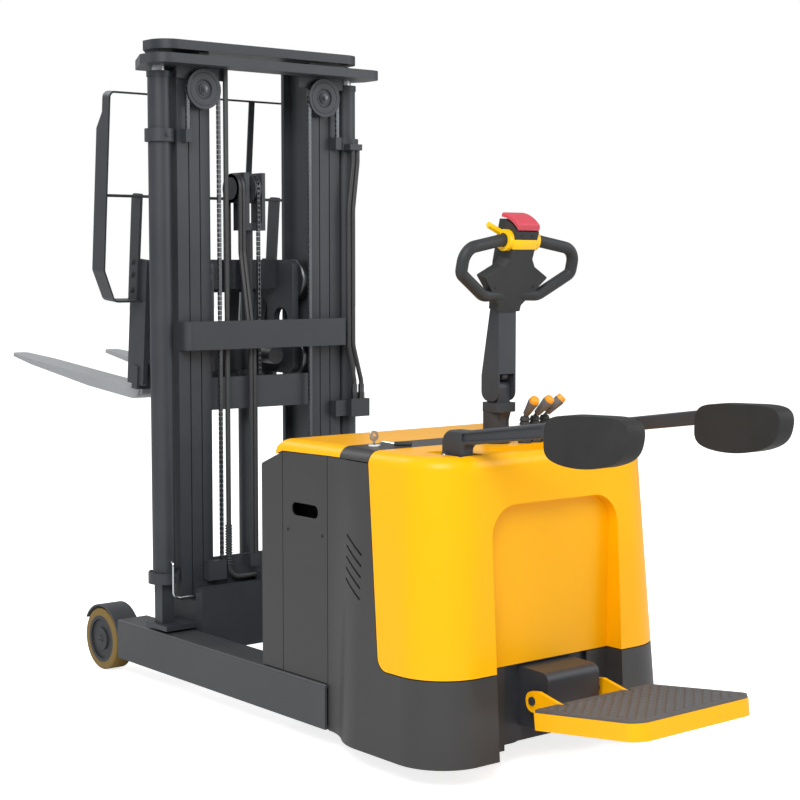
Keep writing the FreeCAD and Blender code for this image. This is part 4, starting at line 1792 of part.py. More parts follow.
def fork_carrier():
    """Fork bars with hinge ears, side plates and the rib that the tilt rod works on."""
    rear = bar_rear()
    front = rear + BAR_T
    low_z = FORK_TOP_Z + BAR_LOW_UP
    high_z = low_z + BAR_SPAN - BAR_H
    low = box(-BAR_LOW_X, BAR_LOW_X, rear, front, low_z, low_z + BAR_H)
    high = box(-BAR_HIGH_X, BAR_HIGH_X, rear, front, high_z, high_z + BAR_H)
    ear_x = CARR_X + SLIDE_GAP
    ear = prism(
        [(rear, low_z), (rear, SIDE_TOP - EDGE), (rear - EAR_D, SIDE_TOP - EDGE, 5 * EDGE),
         (rear - EAR_D, TILT_PIVOT_Z - EAR_D, 5 * EDGE),
         (rear - EAR_D / 3, low_z)],
        side_view, ear_x, ear_x + EAR_T)
    bore = rod(TILT_PIN_R + RUN_GAP, Vector(0, TILT_PIVOT_Y, TILT_PIVOT_Z),
               Vector(SKIRT_X, TILT_PIVOT_Y, TILT_PIVOT_Z))
    ear = ear.cut(bore)
    back = FORK_FACE_Y - SIDE_D
    side = prism(
        [(back, SIDE_Z0, 3 * EDGE), (FORK_FACE_Y, SIDE_Z0, EDGE), (FORK_FACE_Y, SIDE_TOP, 3 * EDGE),
         (back, SIDE_TOP, 3 * EDGE)],
        side_view, SIDE_X0, SIDE_X0 + SIDE_T)
    rib = box(TILT_CYL_X - BAR_H / 4, TILT_CYL_X + BAR_H / 4, rear - BAR_T / 2, rear, low_z,
              high_z + BAR_H)
    return tilted(joined([low, high, ear, mirrored(ear), side, mirrored(side), rib]))


def fork(side):
    """Forged fork: tapered blade, round heel, shank and hooks on both bars."""
    face = FORK_FACE_Y
    back = face - FORK_T
    top = FORK_TOP_Z
    tip = face + FORK_L
    blank = prism(
        [(back, top + FORK_SHANK), (back, top - FORK_T, FORK_HEEL_R), (face + FORK_L / 3, top - FORK_T),
         (tip, top - FORK_TIP_T),
         (tip, top), (face, top, FORK_THROAT_R), (face, top + FORK_SHANK, EDGE)],
        side_view, FORK_X0, FORK_X0 + FORK_W)
    mid = FORK_X0 + FORK_W / 2
    taper = FORK_W * 2
    plan = prism(
        [(mid - FORK_W / 2, back - FORK_W), (mid + FORK_W / 2, back - FORK_W),
         (mid + FORK_W / 2, tip - taper),
         (mid + FORK_TIP_W / 2, tip, FORK_TIP_W / 3), (mid - FORK_TIP_W / 2, tip, FORK_TIP_W / 3),
         (mid - FORK_W / 2, tip - taper)],
        plan_view, 0, BODY_TOP + FORK_SHANK + FORK_W * 3)
    blade = blank.common(plan)
    low_z = FORK_TOP_Z + BAR_LOW_UP
    bar_top = low_z + BAR_SPAN
    far = back - BAR_GAP - HOOK_LIP / 2
    hook = box(FORK_X0 + EDGE, FORK_X0 + FORK_W - EDGE, far, back, bar_top + SLIDE_GAP, bar_top + HOOK_T)
    keeper = box(FORK_X0 + EDGE, FORK_X0 + FORK_W - EDGE, far, back + HOOK_LIP / 2, low_z - HOOK_T,
                 low_z - SLIDE_GAP)
    solid = tilted(joined([blade, hook, keeper]))
    return solid if side > 0 else mirrored(solid)


def load_guard():
    """Load guard: bent flat-strip frame, two upright bars, a middle rod and its mounts."""
    front = FORK_FACE_Y - EDGE
    rear = front - GUARD_STRIP
    thin = GUARD_T
    inner = SIDE_X0 + SIDE_T
    outer = inner + GUARD_MOUNT_T
    def bent(inset):
        x = GUARD_X - inset
        top = GUARD_TOP_Z - inset
        foot = GUARD_FOOT_Z + inset
        bend = GUARD_BEND - inset
        slope = inset / 3
        return [(x, GUARD_LOW_Z + slope, bend), (x, top, bend), (-x, top, bend),
                (-x, GUARD_LOW_Z + slope, bend),
                (-GUARD_FOOT_X + slope, foot, bend), (GUARD_FOOT_X - slope, foot, bend)]
    frame = prism(bent(0), front_view, rear, front).cut(prism(bent(thin), front_view, rear, front))
    frame = frame.cut(box(-inner, inner, rear, front, GUARD_FOOT_Z - 1, GUARD_FOOT_Z + thin + 1))
    narrow = rear + GUARD_TOP_W
    step = prism(
        [(narrow, GUARD_STEP_Z), (front, GUARD_WIDE_Z), (front + 1, GUARD_WIDE_Z),
         (front + 1, GUARD_TOP_Z + 1), (narrow, GUARD_TOP_Z + 1)],
        side_view, -GUARD_X, GUARD_X)
    frame = frame.cut(step)
    y = rear + GUARD_TOP_W / 2
    pieces = [frame, rod(GUARD_ROD_R, Vector(thin / 2 - GUARD_X, y, GUARD_MID_Z),
                         Vector(GUARD_X - thin / 2, y, GUARD_MID_Z))]
    half = GUARD_BAR_W / 2
    mount_top = GUARD_MID_Z + GUARD_ROD_R + EDGE
    for side in (-1, 1):
        x = side * GUARD_BAR_X
        pieces.append(box(x - half, x + half, y - thin / 2, y + thin / 2, GUARD_MID_Z,
                          GUARD_TOP_Z - thin / 2))
        mount = prism(
            [(front - GUARD_MOUNT_D, GUARD_FOOT_Z), (front, GUARD_FOOT_Z), (front, mount_top, 5 * EDGE),
             (front - GUARD_MOUNT_D - EDGE, mount_top, EDGE)],
            side_view, side * inner, side * outer)
        pieces.append(mount)
    return tilted(joined(pieces))


def make_nodes():
    """Every piece of the truck by name, in the axle frame."""
    shell = body_shell()
    levers = [lever(i) for i in range(LEVERS)]
    return {
        "straddle_legs": pair(straddle_leg()),
        "left_load_tyre": load_tyre(-1),
        "left_load_hub": load_hub(-1),
        "right_load_tyre": load_tyre(1),
        "right_load_hub": load_hub(1),
        "chassis_frame": chassis_frame(),
        "skirt_shell": skirt_shell(shell),
        "side_panels": side_panels(),
        "front_cover": front_cover(),
        "top_deck": top_deck(shell),
        "rear_cover": rear_cover(shell),
        "battery_pack": battery_pack(),
        "hydraulic_unit": hydraulic_unit(),
        "lever_boots": lever_boots(),
        "lift_lever": levers[0],
        "reach_lever": levers[1],
        "tilt_lever": levers[2],
        "key": key(),
        "drive_unit": drive_unit(),
        "drive_wheel": drive_wheel(),
        "tiller_post": tiller_post(),
        "tiller_arm": tiller_arm(),
        "tiller_head": tiller_head(),
        "speed_paddles": speed_paddles(),
        "belly_button": belly_button(),
        "left_arm": side_arm(-1),
        "right_arm": side_arm(1),
        "left_arm_pad": arm_pad(-1),
        "right_arm_pad": arm_pad(1),
        "pedal_housing": pedal_housing(),
        "pedal_frame": pedal_frame(),
        "pedal_mat": pedal_mat(),
        "reach_frame": reach_frame(),
        "reach_rollers_front": reach_rollers(ROLLER_FRONT_Y),
        "reach_rollers_rear": reach_rollers(ROLLER_REAR_Y),
        "outer_mast": outer_mast(),
        "lift_barrels": pair(lift_barrel()),
        "lift_rods": pair(lift_rod()),
        "middle_rails": middle_rails(),
        "lower_top_plate": lower_top_plate(),
        "left_sheave": lift_sheave(-1),
        "right_sheave": lift_sheave(1),
        "lift_chains": pair(lift_chain()),
        "feed_hose": feed_hose(),
        "side_hoses": side_hoses(),
        "inner_mast": inner_mast(),
        "upper_top_plate": upper_top_plate(),
        "free_lift_barrel": free_lift_barrel(),
        "crosshead": crosshead(),
        "crosshead_sheaves": crosshead_sheaves(),
        "free_lift_chain": free_lift_chain(),
        "carriage_hoses": carriage_hoses(),
        "carriage_frame": carriage_frame(),
        "carriage_rollers_low": carriage_rollers(CARR_ROLLER_LOW),
        "carriage_rollers_high": carriage_rollers(CARR_ROLLER_HIGH),
        "tilt_rod": tilt_rod(),
        "fork_carrier": fork_carrier(),
        "load_guard": load_guard(),
        "left_fork": fork(-1),
        "right_fork": fork(1),
    }


def main():
    """Write one file per piece, with the origin on the floor under the middle of the truck's box."""
    os.makedirs("parts", exist_ok=True)
    for name, shape in make_nodes().items():
        shape.translate(Vector(0, -ORIGIN_Y, 0))
        shape.exportStep("parts/" + name + ".step")


main()
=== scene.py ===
"""Looks of the stand-on reach stacker: finishes, small fittings, chains, hoses, arm pads and the studio."""

import logging
import math
from collections.abc import Iterable, Sequence
from dataclasses import dataclass
from enum import Enum

import bpy
from mathutils import Euler, Matrix, Vector

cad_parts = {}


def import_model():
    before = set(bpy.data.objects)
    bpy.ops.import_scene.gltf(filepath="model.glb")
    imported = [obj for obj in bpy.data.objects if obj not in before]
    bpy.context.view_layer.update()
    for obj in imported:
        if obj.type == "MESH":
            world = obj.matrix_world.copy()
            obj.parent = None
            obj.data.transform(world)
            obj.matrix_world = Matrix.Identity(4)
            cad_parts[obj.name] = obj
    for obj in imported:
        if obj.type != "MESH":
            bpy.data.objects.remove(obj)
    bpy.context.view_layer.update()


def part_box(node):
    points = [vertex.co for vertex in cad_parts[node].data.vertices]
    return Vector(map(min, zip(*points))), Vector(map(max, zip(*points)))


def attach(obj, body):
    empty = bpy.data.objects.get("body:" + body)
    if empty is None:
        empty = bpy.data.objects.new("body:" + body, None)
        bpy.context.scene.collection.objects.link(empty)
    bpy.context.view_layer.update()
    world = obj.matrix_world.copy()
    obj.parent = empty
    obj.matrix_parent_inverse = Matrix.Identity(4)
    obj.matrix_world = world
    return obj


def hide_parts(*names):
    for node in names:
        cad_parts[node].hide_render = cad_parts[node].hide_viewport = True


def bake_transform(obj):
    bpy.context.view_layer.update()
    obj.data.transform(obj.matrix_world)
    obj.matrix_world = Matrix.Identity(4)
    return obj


LOG = logging.getLogger("stacker")
ORIGIN_Y = -677.8025  # the row frame's origin, measured from the load axle, in mm
UP = Vector((0, 0, 1))
BACK = Vector((0, -1, 0))


class Side(Enum):
    """Left and right of the truck, as a sign along X."""

    LEFT = -1
    RIGHT = 1

    @property
    def word(self) -> str:
        """The side's word in the names of pieces."""
        return self.name.lower()

    @property
    def out(self) -> Vector:
        """Direction out of the truck on this side."""
        return Vector((self.value, 0, 0))


class Head(Enum):
    """Form of a fastener's head."""

    HEX = "hex"
    DOME = "dome"
    SOCKET = "socket"


def at(x: float, y: float, z: float) -> Vector:
    """Point in the row frame.

    Args:
        x: Millimetres to the right of the middle.
        y: Millimetres in front of the load axle.
        z: Millimetres above the floor.

    Returns:
        The point in metres.
    """
    return Vector((x, y - ORIGIN_Y, z)) / 1000


def linearise(colour: str) -> tuple[float, float, float, float]:
    """Linear colour of an sRGB hex string.

    Args:
        colour: Six hex digits after a hash.

    Returns:
        Red, green, blue and alpha, linear.
    """
    parts = [int(colour[i : i + 2], 16) / 255 for i in (1, 3, 5)]
    return (*(p / 12.92 if p <= 0.04045 else ((p + 0.055) / 1.055) ** 2.4 for p in parts), 1.0)


def add_node(tree: bpy.types.NodeTree, kind: str, **sockets) -> bpy.types.Node:
    """Add a shader node and set its inputs.

    Args:
        tree: Node tree that takes the node.
        kind: Node type.
        **sockets: Values, or output sockets to link, by input name with underscores.

    Returns:
        The new node.
    """
    node = tree.nodes.new(kind)
    for name, value in sockets.items():
        socket = node.inputs[name.replace("_", " ")]
        if isinstance(value, bpy.types.NodeSocket):
            tree.links.new(value, socket)
        else:
            socket.default_value = value
    return node


@dataclass(frozen=True)
class Finish:
    """One finish of the object.

    Attributes:
        name: What the material is.
        slot: The record's material slot.
        colour: sRGB hex colour.
        rough: Roughness.
        metal: Metallic share.
        coat: Clear coat share.
        gloss: Strength of the mirror part, a half for plain plastic.
        brushed: Whether it carries drawn streaks along Z.
        grain_mm: Size of the surface grain.
        grain: Strength of the surface grain.
        mottle: Share of slow brightness change.
        dust: sRGB hex colour of dust or wear that the slow change brings in.
    """

    name: str
    slot: str
    colour: str
    rough: float
    metal: float = 0.0
    coat: float = 0.0
    gloss: float = 0.5
    brushed: bool = False
    grain_mm: float = 1.5
    grain: float = 0.08
    mottle: float = 0.06
    dust: str = "#8A8A88"


class Finishes:
    """The finishes, each built once."""

    SLOW_MM = 200  # size of the slow change in colour and roughness
    ROUGH_SWING = 0.06
    COAT_ROUGH = 0.12
    STREAK = 0.02  # how much a drawn streak is squeezed along Z

    # Satin charcoal with a cool tint: the mast reads dark but keeps soft highlights on its rails
    MAST = Finish("charcoal_mast_paint", "mast_paint", "#272B32", 0.48, coat=0.05, gloss=0.4)
    # A shade lighter and duller, so the legs part from the wheels and the floor
    LEG = Finish("grey_leg_paint", "leg_paint", "#333539", 0.5, coat=0.04, gloss=0.4, mottle=0.08)
    # Even satin grey of large pressed panels
    PANEL = Finish("grey_panel_paint", "panel_grey", "#323233", 0.46, coat=0.05, gloss=0.4, mottle=0.03)
    # Satin warm yellow with a faint ripple: the main colour of the body
    YELLOW = Finish("yellow_moulding", "body_yellow", "#FFB500", 0.36, coat=0.08, gloss=0.2, mottle=0.02,
                    grain_mm=6, grain=0.015, dust="#F5A600")
    # Yellow paint on steel, a little duller than the moulding
    PEDAL = Finish("yellow_platform_paint", "pedal_yellow", "#FFB602", 0.4, coat=0.06, gloss=0.22,
                   mottle=0.03, dust="#E89C00")
    # Drawn bright steel with lengthwise streaks: cylinder rods and pins glint
    STEEL = Finish("bright_steel", "bare_steel", "#C3C6CA", 0.26, metal=1.0, brushed=True,
                   grain_mm=0.6, grain=0.05)
    # Oiled leaf chain: dark metal with small silver glints
    CHAIN = Finish("oiled_chain_steel", "chain_steel", "#6B6E72", 0.36, metal=0.9, mottle=0.25,
                   dust="#2A2B2D")
    # Matt rubber of boots and mat, with a fine tooth
    RUBBER = Finish("black_rubber", "black_rubber", "#232427", 0.72, grain=0.2)
    # Studded mat, paler than the boots from dust between its studs
    MAT = Finish("grey_mat_rubber", "black_rubber", "#4C4D50", 0.6, grain=0.2,
                 mottle=0.12)
    # Smooth hose cover, a little shinier than the boots
    HOSE = Finish("hose_rubber", "hose_rubber", "#26272A", 0.5, grain=0.06)
    # Amber tread that shows its edge beside the dark hub
    TREAD = Finish("amber_tread", "tread", "#7D6218", 0.52, mottle=0.12,
                   dust="#4A3A1E")
    # Painted cast hub, darker than the leg
    HUB = Finish("painted_hub", "hub_grey", "#222428", 0.5, gloss=0.35, grain_mm=3, grain=0.15)
    # Charcoal moulding of the tiller head with a fine spark grain
    MOULDED = Finish("charcoal_moulding", "head_plastic", "#212326", 0.55, gloss=0.32, grain_mm=0.9,
                     grain=0.22)
    # Clean bright yellow of the thumb paddles
    PADDLE = Finish("yellow_paddle", "paddle_yellow", "#FDC706", 0.38, coat=0.1, gloss=0.35, mottle=0.02,
                    dust="#F2BE00")
    # Soft pinkish red of the safety button
    RED = Finish("soft_red_pad", "button_red", "#C53F4D", 0.5, mottle=0.05,
                 dust="#DE7C86")
    # Foam pad with a dense matt skin
    PAD = Finish("black_foam_skin", "pad_foam", "#131416", 0.62, gloss=0.28,
                 grain_mm=1.2, grain=0.18)
    # Worn grey plastic of the lever knobs, paler than the head
    KNOB = Finish("grey_knob_plastic", "head_plastic", "#5B5C5F", 0.5, mottle=0.15)
    # Grey battery and electrical cases inside the body
    CASE = Finish("battery_case", "battery_case", "#55585C", 0.6)
    # Worn grey paint of the forks, much paler than the mast, uneven on the broad faces
    FORK = Finish("worn_fork_paint", "fork_paint", "#A0A3A8", 0.42, mottle=0.22, coat=0.1)
    # White plastic of the small key ferrule
    WHITE = Finish("white_plastic", "head_plastic", "#E6E6E3", 0.4)
    # Orange end caps of the lever knobs
    ORANGE = Finish("orange_cap", "paddle_yellow", "#F0A020", 0.4, coat=0.15, mottle=0.02, dust="#D98A10")
    # Painted shade: near black that stands in for the shade inside holes, slots and screw recesses
    DARK = Finish("painted_hole_shade", "black_rubber", "#0C0C0D", 0.8)

    def __init__(self) -> None:
        """Start with nothing built."""
        self._built: dict[str, bpy.types.Material] = {}

    def of(self, finish: Finish) -> bpy.types.Material:
        """Material of a finish.

        Args:
            finish: The finish.

        Returns:
            Its material, built at first use.
        """
        if finish.name not in self._built:
            self._built[finish.name] = self._build(finish)
        return self._built[finish.name]

    def _build(self, finish: Finish) -> bpy.types.Material:
        """Build the node tree of a finish.

        Args:
            finish: The finish.

        Returns:
            The new material.
        """
        material = bpy.data.materials.new(finish.name)
        material.use_nodes = True
        tree = material.node_tree
        tree.nodes.clear()
        place = add_node(tree, "ShaderNodeTexCoord").outputs["Object"]
        slow = add_node(tree, "ShaderNodeTexNoise", Vector=place, Scale=1000 / self.SLOW_MM, Detail=4.0,
                        Roughness=0.6)
        share = add_node(tree, "ShaderNodeMapRange", Value=slow.outputs["Fac"], To_Min=0.0,
                         To_Max=2 * finish.mottle)
        tint = tree.nodes.new("ShaderNodeMix")
        tint.data_type = "RGBA"
        tree.links.new(share.outputs["Result"], tint.inputs["Factor"])
        colours = [s for s in tint.inputs if s.type == "RGBA"]
        colours[0].default_value = linearise(finish.colour)
        colours[1].default_value = linearise(finish.dust)
        colour = next(s for s in tint.outputs if s.type == "RGBA")
        grain_place = place
        if finish.brushed:
            grain_place = add_node(tree, "ShaderNodeMapping", Vector=place,
                                   Scale=(1.0, 1.0, self.STREAK)).outputs["Vector"]
        grain = add_node(tree, "ShaderNodeTexNoise", Vector=grain_place, Scale=1000 / finish.grain_mm,
                         Detail=2.0)
        rough = add_node(tree, "ShaderNodeMapRange", Value=slow.outputs["Fac"],
                         To_Min=max(0.05, finish.rough - self.ROUGH_SWING),
                         To_Max=finish.rough + self.ROUGH_SWING)
        bump = add_node(tree, "ShaderNodeBump", Strength=finish.grain, Distance=finish.grain_mm / 4000,
                        Height=grain.outputs["Fac"])
        shader = add_node(tree, "ShaderNodeBsdfPrincipled", Base_Color=colour, Metallic=finish.metal,
                          Roughness=rough.outputs["Result"], Specular_IOR_Level=finish.gloss,
                          Coat_Weight=finish.coat, Coat_Roughness=self.COAT_ROUGH,
                          Normal=bump.outputs["Normal"])
        add_node(tree, "ShaderNodeOutputMaterial", Surface=shader.outputs["BSDF"])
        return material


@dataclass
class Bench:
    """Makes mesh pieces: each has its place in the mesh and its object at the origin.

    Attributes:
        finishes: The object's finishes.
    """

    finishes: Finishes
    SMOOTH_DEG = 35

    @staticmethod
    def alone(obj: bpy.types.Object) -> bpy.types.Object:
        """Select one object only and make it active.

        Args:
            obj: The object.

        Returns:
            The same object.
        """
        bpy.ops.object.select_all(action="DESELECT")
        obj.select_set(True)
        bpy.context.view_layer.objects.active = obj
        return obj

    def _settle(self, name: str) -> bpy.types.Object:
        """Name the active object and move its place into its mesh.

        Args:
            name: Name of the piece.

        Returns:
            The piece.
        """
        obj = self.alone(bpy.context.active_object)
        obj.name = name
        obj.data.name = name
        bpy.ops.object.transform_apply(location=True, rotation=True, scale=True)
        return obj

    def modify(self, obj: bpy.types.Object, kind: str, **settings) -> bpy.types.Object:
        """Add a modifier and apply it.

        Args:
            obj: The piece.
            kind: Modifier type.
            **settings: Modifier settings.

        Returns:
            The same piece.
        """
        self.alone(obj)
        modifier = obj.modifiers.new(kind.lower(), kind)
        for key, value in settings.items():
            setattr(modifier, key, value)
        bpy.ops.object.modifier_apply(modifier=modifier.name)
        return obj

    def soften(self, obj: bpy.types.Object, width: float, segments: int = 2) -> bpy.types.Object:
        """Round a piece's edges.

        Args:
            obj: The piece.
            width: Width of the rounding in mm.
            segments: Steps of the rounding.

        Returns:
            The same piece.
        """
        return self.modify(obj, "BEVEL", width=width / 1000, segments=segments, limit_method="ANGLE")

    def repeat(self, obj: bpy.types.Object, count: int, step: tuple[float, float, float]) -> None:
        """Repeat a piece in a row.

        Args:
            obj: The piece.
            count: How many.
            step: From one to the next, in metres.
        """
        self.modify(obj, "ARRAY", count=count, use_relative_offset=False, use_constant_offset=True,
                    constant_offset_displace=step)

    def bar(self, name: str, radius: float, start: Vector, end: Vector, sides: int = 24,
            tip: float | None = None) -> bpy.types.Object:
        """Round or many-sided bar between two points.

        Args:
            name: Name of the piece.
            radius: Radius in mm at the start.
            start: Start in metres.
            end: End in metres.
            sides: Number of sides.
            tip: Radius in mm at the end, where it differs.

        Returns:
            The piece.
        """
        span = end - start
        bpy.ops.mesh.primitive_cone_add(
            vertices=sides, radius1=radius / 1000, radius2=(radius if tip is None else tip) / 1000,
            depth=span.length, location=(start + end) / 2, rotation=span.to_track_quat("Z", "Y").to_euler())
        return self._settle(name)

    def block(self, name: str, low: Vector, high: Vector, round_mm: float = 0,
              turn: Euler | None = None) -> bpy.types.Object:
        """Box between two corners, with rounded edges and a turn about its middle.

        Args:
            name: Name of the piece.
            low: Lowest corner in metres.
            high: Highest corner in metres.
            round_mm: Rounding of its edges in mm.
            turn: Turn about the middle.

        Returns:
            The piece.
        """
        bpy.ops.mesh.primitive_cube_add(size=1, location=(low + high) / 2,
                                        rotation=turn or Euler((0, 0, 0)), scale=high - low)
        obj = self._settle(name)
        return self.soften(obj, round_mm) if round_mm else obj

    def sheet(self, name: str, middle: Vector, size: Vector) -> bpy.types.Object:
        """Upright sheet along Y with one cut each way, for a piece that is shaped by its outline.

        Args:
            name: Name of the piece.
            middle: Its middle in metres.
            size: Its size in metres, of which Y and Z count.

        Returns:
            The piece, the only one selected.
        """
        bpy.ops.mesh.primitive_plane_add(size=1, location=middle, rotation=(0, math.pi / 2, 0))
        bpy.context.active_object.scale = (size.z, size.y, 1)
        obj = self._settle(name)
        bpy.ops.object.mode_set(mode="EDIT")
        bpy.ops.mesh.select_all(action="SELECT")
        bpy.ops.mesh.subdivide(number_cuts=1)
        bpy.ops.object.mode_set(mode="OBJECT")
        return obj

    def ring(self, name: str, spot: Vector, way: Vector, radius: float, thick: float) -> bpy.types.Object:
        """Round ring.

        Args:
            name: Name of the piece.
            spot: Middle in metres.
            way: Axis.
            radius: Middle radius in mm.
            thick: Radius of its section in mm.

        Returns:
            The piece.
        """
        bpy.ops.mesh.primitive_torus_add(
            major_radius=radius / 1000, minor_radius=thick / 1000, major_segments=40, minor_segments=10,
            location=spot, rotation=way.to_track_quat("Z", "Y").to_euler())
        return self._settle(name)

    def tube(self, name: str, points: Sequence[Vector], radius: float) -> bpy.types.Object:
        """Tube along a line of points.

        Args:
            name: Name of the piece.
            points: Points in metres, close together in the bends.
            radius: Radius in mm.

        Returns:
            The piece.
        """
        bpy.ops.curve.primitive_bezier_curve_add()
        obj = bpy.context.active_object
        curve = obj.data
        curve.splines.clear()
        line = curve.splines.new("POLY")
        line.points.add(len(points) - 1)
        for target, point in zip(line.points, points):
            target.co = (*point, 1)
        curve.dimensions = "3D"
        curve.bevel_depth = radius / 1000
        curve.bevel_resolution = 3
        curve.use_fill_caps = True
        self.alone(obj)
        bpy.ops.object.convert(target="MESH")
        return self._settle(name)

    def join(self, name: str, pieces: Iterable[bpy.types.Object]) -> bpy.types.Object:
        """Join pieces into one.

        Args:
            name: Name of the joined piece.
            pieces: Its pieces.

        Returns:
            The joined piece.
        """
        pieces = list(pieces)
        self.alone(pieces[0])
        for piece in pieces:
            piece.select_set(True)
        if len(pieces) > 1:
            bpy.ops.object.join()
        return self._settle(name)

    def fastener(self, head: Head, spot: Vector, way: Vector, size: float) -> bpy.types.Object:
        """Bolt or screw head that stands on a face.

        Args:
            head: Form of the head.
            spot: Middle of its foot in metres.
            way: Direction out of the face.
            size: Width of the head in mm.

        Returns:
            The piece.
        """
        out = way.normalized() / 1000
        if head is Head.HEX:
            washer = self.bar("washer", size * 0.72, spot - out * 0.3, spot + out * size * 0.14, 24)
            top = self.bar("hex", size * 0.55, spot, spot + out * size * 0.5, 6)
            return self.join("bolt", [self.soften(washer, size * 0.03), self.soften(top, size * 0.05)])
        if head is Head.DOME:
            dome = self.bar("dome", size * 0.5, spot - out * 0.3, spot + out * size * 0.3, 20, size * 0.34)
            return self.soften(dome, size * 0.09, 3)
        cap = self.bar("cap", size * 0.5, spot - out * 0.3, spot + out * size * 0.45, 24)
        hole = self.bar("hole", size * 0.24, spot + out * size * 0.3, spot + out * size * 0.46, 6)
        return self.join("socket", [self.soften(cap, size * 0.05), hole])

    def place(self, obj: bpy.types.Object, finish: Finish, body: str | None) -> bpy.types.Object:
        """Give a piece its finish and let it ride on a CAD body.

        Args:
            obj: The piece.
            finish: Its finish.
            body: Body that carries it, or none to leave it without one.

        Returns:
            The same piece.
        """
        self.alone(obj)
        bpy.ops.object.shade_smooth_by_angle(angle=math.radians(self.SMOOTH_DEG))
        obj.data.materials.clear()
        obj.data.materials.append(self.finishes.of(finish))
        if body is not None:
            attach(obj, body)
        return obj

    def bolts(self, name: str, body: str, head: Head, size: float,
              spots: Sequence[tuple[Vector, Vector]], finish: Finish = Finishes.STEEL) -> None:
        """Group of equal fasteners on one body.

        Args:
            name: Name of the group.
            body: Body that carries it.
            head: Form of the heads.
            size: Width of a head in mm.
            spots: Foot and direction of each head.
            finish: Finish of the heads.
        """
        made = [self.fastener(head, spot, way, size) for spot, way in spots]
        self.place(self.join(name, made), finish, body)


BEND_STEPS = 10


def rounded(corners: Sequence[tuple[Vector, float]], step: float = 12) -> list[Vector]:
    """Line through corner points with tangent bends.

    Args:
        corners: Points in metres, each with the radius of its bend in mm.
        step: Greatest distance between points of a straight run in mm.

    Returns:
        Points along the line, in metres.
    """
    points = [corners[0][0]]
    for (before, _), (corner, radius), (after, _) in zip(corners, corners[1:], corners[2:]):
        back = (before - corner).normalized()
        ahead = (after - corner).normalized()
        half = back.angle(ahead) / 2
        cut = radius / 1000 / math.tan(half)
        centre = corner + (back + ahead).normalized() * (radius / 1000 / math.sin(half))
        start = corner + back * cut - centre
        end = corner + ahead * cut - centre
        turn = start.angle(end)
        axis = start.cross(end).normalized()
        points += [centre + Matrix.Rotation(turn * i / BEND_STEPS, 3, axis) @ start
                   for i in range(BEND_STEPS + 1)]
    points.append(corners[-1][0])
    line = [points[0]]
    for point in points[1:]:
        gap = (point - line[-1]).length * 1000
        count = max(1, math.ceil(gap / step))
        base = line[-1]
        line += [base.lerp(point, i / count) for i in range(1, count + 1)]
    return line


@dataclass
class Trim:
    """Pieces that dress one sub-assembly of the CAD part.

    Attributes:
        bench: Where pieces are made.
    """

    bench: Bench

    def build(self) -> None:
        """Make the pieces."""
        raise NotImplementedError


@dataclass(frozen=True)
class BodySizes:
    """Places and sizes of the body's small fittings, in mm."""

    panel_x: float = 407
    screw_y: float = -1177
    screw_pitch: float = 168
    screw_z: float = 616
    screw: float = 10
    deck_z: float = 879
    key_x: float = -330
    key_y: float = -1402
    ferrule_r: float = 13.5
    ferrule: float = 3
    # Foot, bend and end of the handle's rod, and the end of its grip, from the key's foot
    handle: tuple[tuple[float, float, float], ...] = (
        (14, -12, 0), (14, -12, 14), (40, -40, 8), (74, -76, 7.5))
    handle_bend: float = 6
    rod_r: float = 3
    grip_r: float = 6.5
    arm_x: float = 311.8
    arm_y: float = -1681
    arm_z: float = 876
    arm_bolt: float = 15
    cap_r: float = 20
    cap_tip: float = 18
    cap_depth: float = 13
    cap_screw: float = 8
    cap_screw_r: float = 10


class BodyTrim(Trim):
    """Screws, key ferrule, deck handle, arm bolts and wheel caps."""

    SIZES = BodySizes()

    def build(self) -> None:
        """Make all the body's fittings."""
        s = self.SIZES
        screws = [(at(side.value * s.panel_x, s.screw_y + end * s.screw_pitch, s.screw_z), side.out)
                  for side in Side for end in (-0.5, 0.5)]
        # The door screw heads take the near black painted shade of the holes
        self.bench.bolts("door_screws", "chassis", Head.DOME, s.screw, screws, Finishes.DARK)
        pins = [(at(side.value * s.arm_x, s.arm_y, s.arm_z), side.out) for side in Side]
        self.bench.bolts("arm_pivot_bolts", "chassis", Head.DOME, s.arm_bolt, pins)
        self._key_place()
        self._hubs()

    def _key_place(self) -> None:
        """White ferrule round the key and the small handle beside it."""
        s = self.SIZES
        foot = at(s.key_x, s.key_y, s.deck_z)
        ferrule = self.bench.ring("key_ferrule", foot + UP * 0.002, UP, s.ferrule_r, s.ferrule)
        self.bench.place(ferrule, Finishes.WHITE, "chassis")
        start, bend, end, tip = (at(s.key_x + x, s.key_y + y, s.deck_z + z) for x, y, z in s.handle)
        line = rounded([(start, 0), (bend, s.handle_bend), (end, 0)], 4)
        self.bench.place(self.bench.tube("deck_handle_rod", line, s.rod_r), Finishes.STEEL, "chassis")
        grip = self.bench.bar("deck_handle_grip", s.grip_r, line[-1] - UP * 0.0005, tip, 16)
        self.bench.place(self.bench.soften(grip, 2), Finishes.RUBBER, "chassis")

    def _hubs(self) -> None:
        """Centre cap of each load wheel, with three small screws."""
        s = self.SIZES
        for side in Side:
            name = f"{side.word}_load"
            low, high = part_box(f"{name}_hub")
            face = low.x if side is Side.LEFT else high.x
            middle = Vector((face, (low.y + high.y) / 2, (low.z + high.z) / 2))
            cap = self.bench.bar(f"{name}_cap", s.cap_r, middle - side.out * s.cap_depth / 1000,
                                 middle + side.out * 0.0005, 28, s.cap_tip)
            self.bench.place(self.bench.soften(cap, 1.5), Finishes.HUB, f"{name}_wheel")
            arm = UP * s.cap_screw_r / 1000
            spots = [(middle + Matrix.Rotation(math.radians(turn), 3, "X") @ arm, side.out)
                     for turn in (0, 120, 240)]
            # The cap screws take the near black painted shade of the holes
            self.bench.bolts(f"{name}_screws", f"{name}_wheel", Head.DOME, s.cap_screw, spots, Finishes.DARK)


